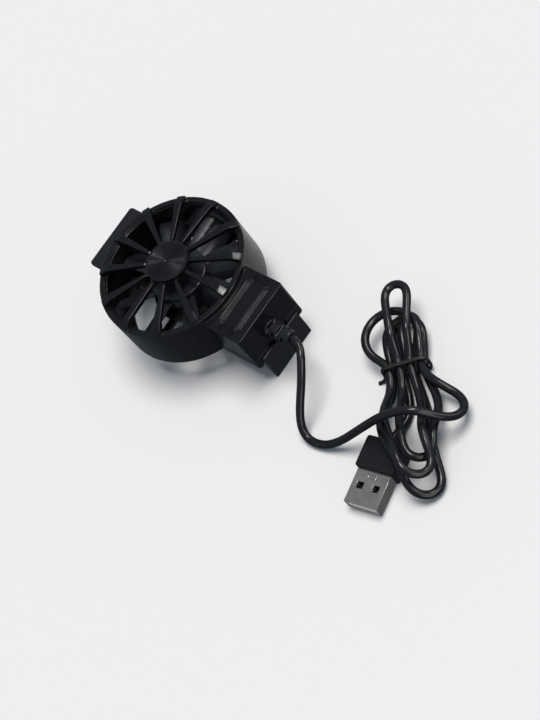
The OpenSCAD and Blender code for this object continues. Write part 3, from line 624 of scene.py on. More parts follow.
class NodeTrees:
    """Geometry Nodes trees for what repeats, each made once."""

    def __init__(self) -> None:
        """Builds every tree."""
        self.ring = self._ring()
        self.row = self._row()
        self.spring = self._spring()

    @staticmethod
    def _open(name: str, *inputs: tuple[str, str]) -> bpy.types.NodeTree:
        """Makes a tree with its sockets and its last two nodes.

        Args:
            name: The tree's name.
            *inputs: Pairs of an input's name and its socket type.

        Returns:
            The tree; its Realize node waits for what is to be shown.
        """
        tree = bpy.data.node_groups.new(name, "GeometryNodeTree")
        for label, kind in (("Geometry", "NodeSocketGeometry"), *inputs, ("Finish", "NodeSocketMaterial")):
            tree.interface.new_socket(name=label, in_out="INPUT", socket_type=kind)
        tree.interface.new_socket(name="Geometry", in_out="OUTPUT", socket_type="NodeSocketGeometry")
        ins = add_node(tree, "NodeGroupInput", name="Ins")
        real = add_node(tree, "GeometryNodeRealizeInstances", name="Realize")
        paint = add_node(tree, "GeometryNodeSetMaterial", {"Geometry": real.outputs[0],
                                                           "Material": ins.outputs["Finish"]})
        add_node(tree, "NodeGroupOutput", {0: paint.outputs[0]})
        return tree

    @staticmethod
    def _show(tree: bpy.types.NodeTree, node: bpy.types.Node) -> bpy.types.NodeTree:
        """Lets a tree show what a node makes."""
        tree.links.new(node.outputs[0], tree.nodes["Realize"].inputs[0])
        return tree

    def _ring(self) -> bpy.types.NodeTree:
        """Copies of the mesh at even turns about Z.

        Returns:
            The tree.
        """
        tree = self._open("Ring of copies", ("Count", "NodeSocketInt"))
        ins = tree.nodes["Ins"].outputs
        index = tree.nodes.new("GeometryNodeInputIndex")
        turn = add_node(tree, "ShaderNodeMath", {0: index.outputs[0], 1: ins["Count"]}, operation="DIVIDE")
        angle = add_node(tree, "ShaderNodeMath", {0: turn.outputs[0], 1: 2 * math.pi}, operation="MULTIPLY")
        spin = add_node(tree, "ShaderNodeCombineXYZ", {"Z": angle.outputs[0]})
        points = add_node(tree, "GeometryNodePoints", {"Count": ins["Count"]})
        return self._show(tree, add_node(tree, "GeometryNodeInstanceOnPoints", {
            "Points": points.outputs[0], "Instance": ins["Geometry"], "Rotation": spin.outputs[0]}))

    def _row(self) -> bpy.types.NodeTree:
        """Copies of the mesh along a straight row.

        Returns:
            The tree.
        """
        tree = self._open("Row of copies", ("Count", "NodeSocketInt"), ("Start", "NodeSocketVector"),
                          ("Step", "NodeSocketVector"))
        ins = tree.nodes["Ins"].outputs
        line = add_node(tree, "GeometryNodeMeshLine", {"Count": ins["Count"], "Start Location": ins["Start"],
                                                       "Offset": ins["Step"]})
        return self._show(tree, add_node(tree, "GeometryNodeInstanceOnPoints", {
            "Points": line.outputs[0], "Instance": ins["Geometry"]}))

    def _spring(self) -> bpy.types.NodeTree:
        """Round wire along the object's own line of points.

        Returns:
            The tree.
        """
        tree = self._open("Wire along a line", ("Wire radius", "NodeSocketFloat"))
        ins = tree.nodes["Ins"].outputs
        line = add_node(tree, "GeometryNodeMeshToCurve", {0: ins["Geometry"]})
        section = add_node(tree, "GeometryNodeCurvePrimitiveCircle", {"Resolution": 10,
                                                                      "Radius": ins["Wire radius"]})
        return self._show(tree, add_node(tree, "GeometryNodeCurveToMesh", {
            "Curve": line.outputs[0], "Profile Curve": section.outputs[0], "Fill Caps": True}))

    @staticmethod
    def run(piece: bpy.types.Object, tree: bpy.types.NodeTree, values: dict[str, object]) -> None:
        """Runs a tree on a piece and keeps the result as plain mesh.

        Args:
            piece: The object that has the tree's starting mesh.
            tree: The tree.
            values: What each named input is set to.
        """
        modifier = piece.modifiers.new(tree.name, "NODES")
        modifier.node_group = tree
        for item in tree.interface.items_tree:
            if item.item_type == "SOCKET" and item.in_out == "INPUT" and item.name in values:
                modifier[item.identifier] = values[item.name]
        bake(piece)


TREES = NodeTrees()


def tube_mesh(path: Sequence[Vector], radius: float, sides: int) -> bmesh.types.BMesh:
    """Sweeps a round tube along a path, with a UV map that runs along it.

    Args:
        path: Points in millimetres.
        radius: The tube's radius.
        sides: Facets round it.

    Returns:
        The closed tube in millimetres.
    """
    shape = bmesh.new()
    uv = shape.loops.layers.uv.new("along")
    count = len(path)
    rings = []
    travel = [0.0]
    side = None
    for i, at in enumerate(path):
        way = (path[min(i + 1, count - 1)] - path[max(i - 1, 0)]).normalized()
        if side is None:
            side = way.cross(Vector((0, 0, 1)) if abs(way.z) < 0.9 else Vector((1, 0, 0)))
        side = (side - way * side.dot(way)).normalized()
        other = way.cross(side)
        rings.append([shape.verts.new(at + radius * (side * c + other * s)) for c, s in circle(sides)])
        if i:
            travel.append(travel[-1] + (at - path[i - 1]).length)
    for i in range(count - 1):
        for k in range(sides):
            after = (k + 1) % sides
            face = shape.faces.new((rings[i][k], rings[i + 1][k], rings[i + 1][after], rings[i][after]))
            places = ((i, k), (i + 1, k), (i + 1, k + 1), (i, k + 1))
            for loop, (ring, turn) in zip(face.loops, places):
                loop[uv].uv = (travel[ring], turn / sides)
    shape.faces.new(rings[0])
    shape.faces.new(list(reversed(rings[-1])))
    bmesh.ops.recalc_face_normals(shape, faces=shape.faces)
    return shape


def smooth_path(points: Sequence[Vector], steps: int) -> list[Vector]:
    """Runs a smooth curve through points.

    Args:
        points: The points, in order.
        steps: Pieces between two neighbours.

    Returns:
        The curve's points, with both ends.
    """
    last = len(points) - 1
    curve = []
    for i in range(last):
        a, b = points[max(i - 1, 0)], points[i]
        c, d = points[i + 1], points[min(i + 2, last)]
        for k in range(steps):
            u = k / steps
            curve.append(0.5 * (2 * b + (c - a) * u + (2 * a - 5 * b + 4 * c - d) * u * u
                                + (3 * b - a - 3 * c + d) * u ** 3))
    return curve + [points[last]]


def even_path(points: Sequence[Vector], step: float) -> list[Vector]:
    """Spaces points evenly along a path.

    Args:
        points: The path.
        step: The wanted spacing.

    Returns:
        The path's points at that spacing, with both ends.
    """
    travel = [0.0]
    for a, b in zip(points, points[1:]):
        travel.append(travel[-1] + (b - a).length)
    count = max(2, round(travel[-1] / step))
    even = []
    at = 0
    for k in range(count + 1):
        want = travel[-1] * k / count
        while at < len(points) - 2 and travel[at + 1] < want:
            at += 1
        span = travel[at + 1] - travel[at]
        even.append(points[at].lerp(points[at + 1], (want - travel[at]) / span if span else 0.0))
    return even


def relax(points: Sequence[Vector], rounds: int) -> list[Vector]:
    """Takes small kinks out of a path, with its first and last two points held.

    Args:
        points: The path.
        rounds: How often its points are evened out.

    Returns:
        The eased path.
    """
    path = list(points)
    for _ in range(rounds):
        path = path[:2] + [(path[i - 1] + 2 * path[i] + path[i + 1]) / 4
                           for i in range(2, len(path) - 2)] + path[-2:]
    return path


@dataclass
class Housing:
    """Upper shell, tray, base strip and the screws that hold them."""

    ease: float = 0.32
    base_ease: float = 0.2
    line_ease: float = 0.2
    seam_ease: float = 0.3
    line_middle: float = 32.9
    inner_line: float = 35.45
    # Low and high X of the engraved lines, and half their reach along Y
    line_box: tuple[float, float, float] = (27.9, 38.6, 11.6)
    slant_x: float = 1.2
    slant_y: float = 5.0
    block_top: float = 18.7
    tube_top: float = 19.5
    tube_r: float = 27.0
    head_t: float = 1.2
    # In from the head's rim, and up from its face
    head_shape: tuple[tuple[float, float], ...] = ((0.45, 0.0), (0.2, 0.08), (0.05, 0.24), (0.0, 0.5))
    shank_r: float = 0.95
    neck_in: float = 0.1
    tip_in: float = 0.3
    recess_share: float = 0.6
    recess_deep: float = 0.6
    recess_half: float = 0.24
    recess_lip: float = 0.03
    thread: float = 0.6
    thread_from: float = 0.3
    root_in: float = 0.14
    crest_in: float = 0.01
    screw_facets: int = 40
    # Piece, first screw's place, step to the second, head's radius and whole length
    screws: dict[str, tuple[str, Point, Point, float, float]] = field(default_factory=lambda: {
        "case_screws": ("screws_case", (33.9, -8.9, 1.0), (0.0, 17.8, 0.0), 1.9, 9.9),
        "mount_screws": ("screws_mount", (0.0, -9.0, 2.0), (0.0, 18.0, 0.0), 1.8, 4.8)})

    def line_share(self, at: Vector) -> float:
        """Keeps the tube's seam fine and the block's engraved lines crisp.

        Only the slanted lines and the inner one towards the jaw keep a bevel that catches light.

        Args:
            at: Middle of an edge.

        Returns:
            Share of the bevel that the edge gets.
        """
        if at.z > self.tube_top - 0.2 and at.xy.length > self.tube_r - 0.5:
            return self.seam_ease
        low_x, high_x, half_y = self.line_box
        engraved = at.z > self.block_top - 0.5 and low_x < at.x < high_x and abs(at.y) < half_y
        if not engraved or at.xy.length < self.tube_r + 0.3:
            return 1.0
        slanted = abs(at.x - self.line_middle) > self.slant_x and abs(at.y) > self.slant_y
        inner = abs(at.y) < 1.0 and abs(at.x - self.inner_line) < 0.1
        return self.line_ease if slanted or inner else 0.0

    def build(self) -> None:
        """Builds and dresses the housing."""
        eased_piece("upper_shell", "shell_top", HOUSING, SHELL, self.ease, self.line_share, 3)
        eased_piece("base_tray", "tray_base", HOUSING, TRAY, self.base_ease)
        eased_piece("base_pad", "base_strip", HOUSING, PADS, self.base_ease)
        self.build_screws()

    def build_screws(self) -> None:
        """Pan-head screws with a cross recess, copied to their places."""
        for node, (name, start, step, head_r, length) in self.screws.items():
            piece = add_piece(name, self.screw_shape(head_r, length), STEEL)
            TREES.run(piece, TREES.row, {"Count": 2, "Start": Vector(start) * MM, "Step": Vector(step) * MM,
                                         "Finish": PAINTS.material(STEEL)})
            settle(piece, HOUSING, STEEL, node)

    def screw_shape(self, head_r: float, length: float) -> bmesh.types.BMesh:
        """One screw, head down.

        Args:
            head_r: The head's radius.
            length: The whole length.

        Returns:
            The screw in millimetres, its head's face at zero.
        """
        shank, deep, well = self.shank_r, self.recess_deep, head_r * self.recess_share
        outline = [(0.0, deep), (well, deep), (well, 0.0)]
        outline += [(head_r - inset, height) for inset, height in self.head_shape]
        outline += [(head_r, self.head_t), (shank - self.neck_in, self.head_t)]
        z = self.head_t + self.thread_from
        while z < length - self.thread:
            outline += [(shank - self.root_in, z), (shank - self.crest_in, z + self.thread / 2)]
            z += self.thread
        outline += [(shank - self.tip_in, length), (0.0, length)]
        shape = revolve(outline, self.screw_facets)
        for quarter in range(4):
            turn = Matrix.Rotation(quarter * math.pi / 2, 4, "Z")
            arc = [math.radians(d) for d in range(15, 76, 10)]
            ring = [Vector((self.recess_half, self.recess_half, 0))]
            ring += [Vector((well * math.cos(a), well * math.sin(a), 0)) for a in arc]
            face, deep_face = ([shape.verts.new(turn @ (at + Vector((0, 0, z)))) for at in ring]
                               for z in (self.recess_lip, deep))
            shape.faces.new(list(reversed(face)))
            join_rings(shape, [face, deep_face])
        return shape


@dataclass
class Grille:
    """Spoked front and the turned disc at its middle."""

    ease: float = 0.24
    disc_r: float = 7.9
    disc_facets: int = 160
    disc_smooth: float = 40.0
    seat_z: float = 23.4
    face_z: float = 24.4
    dimple_r: float = 1.0
    # Radius, and depth under the face
    dimple_shape: tuple[tuple[float, float], ...] = ((0.0, 0.5), (0.35, 0.47), (0.65, 0.36), (0.9, 0.12))
    # In from the rim, and depth under the face
    rim_shape: tuple[tuple[float, float], ...] = ((0.3, 0.0), (0.1, 0.07), (0.0, 0.28))
    groove_from: float = 0.5
    groove_to: float = 0.75
    grooves: int = 11
    groove_mm: float = 0.13
    # Share of the step from groove to groove, and share of the depth
    groove_shape: tuple[tuple[float, float], ...] = (
        (0.0, 0.0), (0.08, 0.45), (0.18, 0.9), (0.24, 1.0), (0.3, 0.9), (0.4, 0.45), (0.48, 0.0))
    seam_z: float = 19.5
    seam_ease: float = 0.4

    def seam_share(self, at: Vector) -> float:
        """Keeps the bevel fine where the ring meets the tube."""
        return self.seam_ease if at.z < self.seam_z + 0.1 else 1.0

    def build(self) -> None:
        """Builds and dresses the grille."""
        eased_piece("front_grille", "grille_spokes", HOUSING, GRILLE, self.ease, self.seam_share)
        settle(self.build_disc(), HOUSING, DISC, "hub_disc")

    def build_disc(self) -> bpy.types.Object:
        """Turned disc with fine round-bottomed grooves and a dimple.

        Returns:
            The disc.
        """
        outline = [(0.0, self.seat_z)]
        outline += [(radius, self.face_z - depth) for radius, depth in self.dimple_shape]
        outline.append((self.dimple_r, self.face_z))
        first = self.dimple_r + self.groove_from
        step = (self.disc_r - self.groove_to - first) / self.grooves
        for i in range(self.grooves):
            start = first + i * step
            for share, depth in self.groove_shape:
                outline.append((start + share * step, self.face_z - depth * self.groove_mm))
        outline += [(self.disc_r - inset, self.face_z - depth) for inset, depth in self.rim_shape]
        outline.append((self.disc_r, self.seat_z))
        return add_piece("disc_turned", revolve(outline, self.disc_facets), DISC, self.disc_smooth)


@dataclass
class Rotor:
    """Bladed wheel, with the rotor's steel and magnet inside it."""

    hub_r: float = 10.4
    hub_z: float = 7.6
    hub_top: float = 16.0
    hub_in: float = 9.5
    # Inner and outer radius of the step on the hub's face
    face_ring: tuple[float, float] = (6.9, 7.1)
    face_sink: float = 0.18
    roof_t: float = 1.1
    cap_t: float = 0.4
    boss_r: float = 2.2
    boss_z: float = 13.0
    shaft_r: float = 1.0
    blade_count: int = 8
    blade_half: float = 4.25
    blade_turn: float = math.radians(4)
    blade_z: float = 7.9
    blade_h: float = 6.4
    blade_bend: float = 14.0
    blade_t: float = 0.9
    tip_r: float = 24.3
    root_sink: float = 0.35
    root_narrow: float = 0.14
    root_reach: float = 0.45
    tip_from: float = 0.8
    tip_narrow: float = 0.16
    edge_thin: float = 0.3
    hub_facets: int = 128
    blade_smooth: float = 50.0
    wheel_smooth: float = 35.0

    def build(self) -> None:
        """Builds and dresses the rotor."""
        shape = bmesh.new()
        for part in (self.build_blades(), self.build_hub()):
            shape.from_mesh(part.data)
            bpy.data.objects.remove(part)
        bmesh.ops.scale(shape, vec=(1 / MM, 1 / MM, 1 / MM), verts=shape.verts)
        settle(add_piece("fan_wheel", shape, BLADES, self.wheel_smooth), ROTOR, BLADES, "impeller")
        for node, finish in (("rotor_yoke", STEEL), ("magnet_ring", FERRITE), ("rotor_shaft", STEEL),
                             ("shaft_clip", NYLON)):
            dress_node(node, finish)

    def build_hub(self) -> bpy.types.Object:
        """Cup-shaped hub with a rounded rim and a shallow ring on its face.

        Returns:
            The hub.
        """
        top, rim = self.hub_top, self.hub_r
        sunk, roof, cap = top - self.face_sink, top - self.roof_t, top - self.cap_t
        inner, outer = self.face_ring
        outline = [(0.0, sunk, 0), (inner, sunk, 0.0), (outer, top, 0.08), (rim, top, 0.55),
                   (rim, self.hub_z, 0.15), (self.hub_in, self.hub_z, 0.1), (self.hub_in, roof, 0.2),
                   (self.boss_r, roof, 0.2), (self.boss_r, self.boss_z, 0.1),
                   (self.shaft_r, self.boss_z, 0.0), (self.shaft_r, cap, 0), (0.0, cap, 0)]
        return add_piece("hub_cup", revolve(round_corners(outline), self.hub_facets), BLADES)

    def section(self, across: float) -> tuple[Vector, Vector]:
        """Middle line of a blade's section.

        Args:
            across: Place along the chord, from -1 at the leading edge to 1.

        Returns:
            The point across and up, and the upward normal there.
        """
        half_h = self.blade_h / 2
        chord = Vector((self.blade_half, half_h))
        rise = Vector((-half_h, self.blade_half)).normalized()
        away = math.sqrt(self.blade_bend ** 2 - chord.length_squared)
        centre = -rise * away
        along = chord.normalized() * across * chord.length
        up = math.sqrt(self.blade_bend ** 2 - (across * chord.length) ** 2)
        at = centre + along + rise * up
        return at + Vector((0, self.blade_z + half_h)), (at - centre).normalized()

    def build_blades(self) -> bpy.types.Object:
        """One blade with a thinned edge and a rounded tip, copied round the hub.

        Returns:
            The blades.
        """
        shape = bmesh.new()
        out_steps, chord_steps = 16, 14
        loops = []
        for i in range(out_steps + 1):
            u = i / out_steps
            narrow = 1 - self.root_narrow * (1 - min(1.0, u / self.root_reach) ** 0.7)
            corner = max(0.0, (u - self.tip_from) / (1 - self.tip_from))
            narrow *= 1 - self.tip_narrow * (1 - math.sqrt(1 - 0.96 * corner ** 2))
            upper, lower = [], []
            for k in range(chord_steps + 1):
                v = -math.cos(math.pi * k / chord_steps) * narrow
                at, up = self.section(v)
                thick = self.blade_t * (0.5 - self.edge_thin * abs(v / narrow) ** 3)
                for side, run in ((1, upper), (-1, lower)):
                    place = at + up * thick * side
                    root = math.sqrt((self.hub_r - self.root_sink) ** 2 - place.x ** 2)
                    tip = math.sqrt(self.tip_r ** 2 - place.x ** 2)
                    run.append(shape.verts.new((root + (tip - root) * u, place.x, place.y)))
            loops.append(upper + list(reversed(lower)))
        join_rings(shape, loops)
        around = len(loops[0])
        for loop in (loops[0], loops[-1]):
            half = around // 2
            for k in range(half - 1):
                shape.faces.new((loop[k], loop[k + 1], loop[around - 2 - k], loop[around - 1 - k]))
        bmesh.ops.recalc_face_normals(shape, faces=shape.faces)
        bmesh.ops.rotate(shape, verts=shape.verts, matrix=Matrix.Rotation(self.blade_turn, 3, "Z"))
        blades = add_piece("blades", shape, BLADES, self.blade_smooth)
        TREES.run(blades, TREES.ring, {"Count": self.blade_count, "Finish": PAINTS.material(BLADES)})
        return blades


@dataclass
class Motor:
    """Mount, bearing, stator and drive board under the hub."""

    mount_ease: float = 0.14

    def build(self) -> None:
        """Dresses the motor."""
        eased_piece("motor_mount", "mount_motor", HOUSING, TRAY, self.mount_ease)
        for node, finish in (("bearing_sleeve", BRONZE), ("stator_core", CORE), ("stator_coils", COPPER),
                             ("drive_board", BOARD)):
            dress_node(node, finish)


@dataclass
class Clamp:
    """Fixed jaw, sliding jaw, their pads and the spring between them."""

    post_tray: float = -20.8
    post_jaw: float = 7.5
    post_r: float = 0.8
    hook_z: float = 4.0
    hook_len: float = 1.6
    axis_z: float = 3.2
    wind_r: float = 1.2
    wire_r: float = 0.2
    wire_gap: float = 0.05
    turns: int = 14
    fixed_ease: float = 0.26
    sliding_ease: float = 0.22
    pad_ease: float = 0.12

    def build(self) -> None:
        """Builds and dresses the clamp."""
        eased_piece("fixed_jaw", "jaw_fixed", HOUSING, JAWS, self.fixed_ease)
        eased_piece("sliding_jaw", "jaw_sliding", JAW, JAWS, self.sliding_ease)
        eased_piece("fixed_jaw_pad", "pad_fixed", HOUSING, PADS, self.pad_ease)
        eased_piece("sliding_jaw_pad", "pad_sliding", JAW, PADS, self.pad_ease)
        self.build_spring()

    def build_spring(self) -> None:
        """Tension spring with a hook round each post."""
        hook_r = self.post_r + self.wire_r + self.wire_gap
        start, end = self.post_tray + hook_r + self.hook_len, self.post_jaw - hook_r - self.hook_len
        half_turn = [math.radians(d) for d in range(-90, 91, 15)]
        first = [Vector((self.post_tray - hook_r * math.cos(a), hook_r * math.sin(a), self.hook_z))
                 for a in half_turn]
        final = [Vector((self.post_jaw + hook_r * math.cos(a), hook_r * math.sin(a), self.hook_z))
                 for a in reversed(half_turn)]
        wound = []
        per_turn = 24
        for i in range(per_turn * self.turns + 1):
            a = math.pi / 2 - 2 * math.pi * i / per_turn
            x = start + (end - start) * i / (per_turn * self.turns)
            wound.append(Vector((x, self.wind_r * math.cos(a), self.axis_z + self.wind_r * math.sin(a))))
        line = bmesh.new()
        points = [line.verts.new(at) for at in first + wound + final]
        for a, b in zip(points, points[1:]):
            line.edges.new((a, b))
        spring = add_piece("spring_jaw", line, STEEL)
        TREES.run(spring, TREES.spring, {"Wire radius": self.wire_r * MM, "Finish": PAINTS.material(STEEL)})
        spring.data.shade_smooth()
        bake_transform(spring)
        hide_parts("jaw_spring")
        log_piece(spring, "for jaw_spring")


@dataclass
class Hank:
    """Route of the tied hank, in millimetres, as in the part's source."""

    waist: tuple[float, float] = (83, 11)
    heading: float = math.radians(-46.2)
    turns: float = 3.5
    cord_r: float = 1.4
    lane_step: float = 3.6
    layer_step: float = 3.5
    waist_lift: float = 1.3
    waist_spread: float = 40.0
    waist_straight: float = 6.0
    rise_len: float = 12.0
    tip_rise_len: float = 10.0
    tip_from_out: float = 24.0
    tip_from_back: float = 20.0
    hump_h: float = 7.9
    hump_margin: float = 1.8
    hump_len: float = 16.0
    hump_swell: float = 0.6
    plug_mouth: tuple[float, float] = PLUG_MOUTH
    plug_turn: float = PLUG_TURN
    plug_len: float = 11.75
    plug_back: float = 22.75
    grip_w: float = 13.8
    # Reach, end's radius, side shift, near and far layer, swell on the way out and back
    lobes: tuple[tuple[float, ...], ...] = (
        (20.5, 9.2, -1.6, 2, 2, 0, 0), (42.8, 4.8, 1.6, 1, 2, 3, 0), (28, 4, 3, 3, 3, 0, 0),
        (36.3, 4.4, 2.6, 1, 1, 0.6, 3), (18.5, 6.4, 1.8, 1, 1, 0, 0), (45.8, 5.2, 1.2, 0, 0, 5, 1),
        (22, 4, 2.2, 0, 0, 0, 0))

    @staticmethod
    def ease(u: float) -> float:
        """Smooth step from 0 to 1."""
        v = max(0.0, min(1.0, u))
        return v * v * (3 - 2 * v)

    @staticmethod
    def bulge(u: float) -> float:
        """Swell in the middle of a straight run."""
        return math.sin(4 * math.pi * min(u, 0.25)) ** 2

    def crossing(self, i: int) -> float:
        """Side place of the i-th strand at the waist."""
        return self.lane_step * (self.turns / 2 - (i % 4) / 2) * (1 if i % 2 == 0 else -1)

    def row(self, i: int) -> float:
        """Height of the i-th strand's row at the waist."""
        return self.layer_step if i < 4 else 0.0

    def lobe_place(self, i: int, u: float) -> tuple[float, float]:
        """Place along and across a lobe.

        Args:
            i: The lobe's number.
            u: Share of the way round it.

        Returns:
            The distance from the waist and the side shift.
        """
        reach, r, shift, _, _, swell_out, swell_back = self.lobes[i]
        turn = 1 if i % 2 == 0 else -1
        c, e = reach - r, shift * turn
        start, end = self.crossing(i) * turn, self.crossing(i + 1) * turn
        a0 = math.atan2(e - start, c) + math.asin(r / math.hypot(c, e - start))
        a1 = math.atan2(e - end, c) - math.asin(r / math.hypot(c, e - end))
        if u < 0.25:
            out = math.sqrt(c * c + (e - start) ** 2 - r * r) * 4 * u
            along, aside = out * math.cos(a0), start + out * math.sin(a0)
        elif u > 0.75:
            back = math.sqrt(c * c + (e - end) ** 2 - r * r) * 4 * (1 - u)
            along, aside = back * math.cos(a1), end + back * math.sin(a1)
        else:
            angle = a0 + math.pi / 2 + (a1 - a0 - math.pi) * (u - 0.25) * 2
            along, aside = c + r * math.cos(angle), e + r * math.sin(angle)
        aside += swell_out * self.bulge(u) - swell_back * self.bulge(1 - u)
        near = start if u < 0.5 else end
        return along, near + (aside - near) * self.ease(along / self.waist_straight)

    def lobe_height(self, i: int, u: float, along: float) -> float:
        """Height of a lobe above the lowest strand.

        Args:
            i: The lobe's number.
            u: Share of the way round it.
            along: The distance from the waist.

        Returns:
            The height.
        """
        base = self.row(i if u < 0.5 else i + 1)
        tip_from = self.tip_from_out if u < 0.5 else self.tip_from_back
        near, far = self.lobes[i][3:5]
        level = near + (far - near) * self.ease((along - tip_from) / self.tip_rise_len)
        return base + (level * self.layer_step - base) * self.ease(along / self.rise_len)

    def hump_share(self, x: float, y: float) -> float:
        """How far a place is into the hump over the plug, from 0 to 1.

        Args:
            x: The place along X.
            y: The place along Y.

        Returns:
            The share, which is 1 over the plug's grip.
        """
        dx, dy = x - self.plug_mouth[0], y - self.plug_mouth[1]
        back = dx * math.cos(self.plug_turn) + dy * math.sin(self.plug_turn)
        aside = dy * math.cos(self.plug_turn) - dx * math.sin(self.plug_turn)
        off = math.hypot(max(self.plug_len - back, 0, back - self.plug_back),
                         max(abs(aside) - self.grip_w / 2, 0))
        return max(0.0, min(1.0, 1 - (off - self.hump_margin) / self.hump_len))

    def waist_place(self, along: float, aside: float) -> tuple[float, float]:
        """The plan place at a distance along and aside from the hank's waist."""
        c, s = math.cos(self.heading), math.sin(self.heading)
        return self.waist[0] + along * c - aside * s, self.waist[1] + along * s + aside * c

    def point(self, k: float) -> Vector:
        """A point of the hank, k turns from its start.

        Args:
            k: Turns from the start.

        Returns:
            The point.
        """
        i = min(int(2 * k), len(self.lobes) - 1)
        u = 2 * k - i
        run, side = self.lobe_place(i, u)
        along, aside = (-run, side) if i % 2 == 0 else (run, -side)
        x, y = self.waist_place(along, aside)
        share = self.hump_share(x, y)
        lift = self.waist_lift * math.exp(-along * along / self.waist_spread)
        lift += self.hump_h * self.ease(share)
        height = self.lobe_height(i, u, run) * (1 + self.hump_swell * share * (1 - share))
        return Vector((x, y, STAND_Z + self.cord_r + lift + height))

    def path(self, per_turn: int) -> list[Vector]:
        """The hank's points from the free lead to the plug's lead."""
        return [self.point(i / per_turn) for i in range(int(self.turns * per_turn) + 1)]

    def plug_place(self, back: float, height: float) -> Vector:
        """A point on the plug's middle line, counted back from its mouth."""
        return Vector((self.plug_mouth[0] + back * math.cos(self.plug_turn),
                       self.plug_mouth[1] + back * math.sin(self.plug_turn), STAND_Z + height))


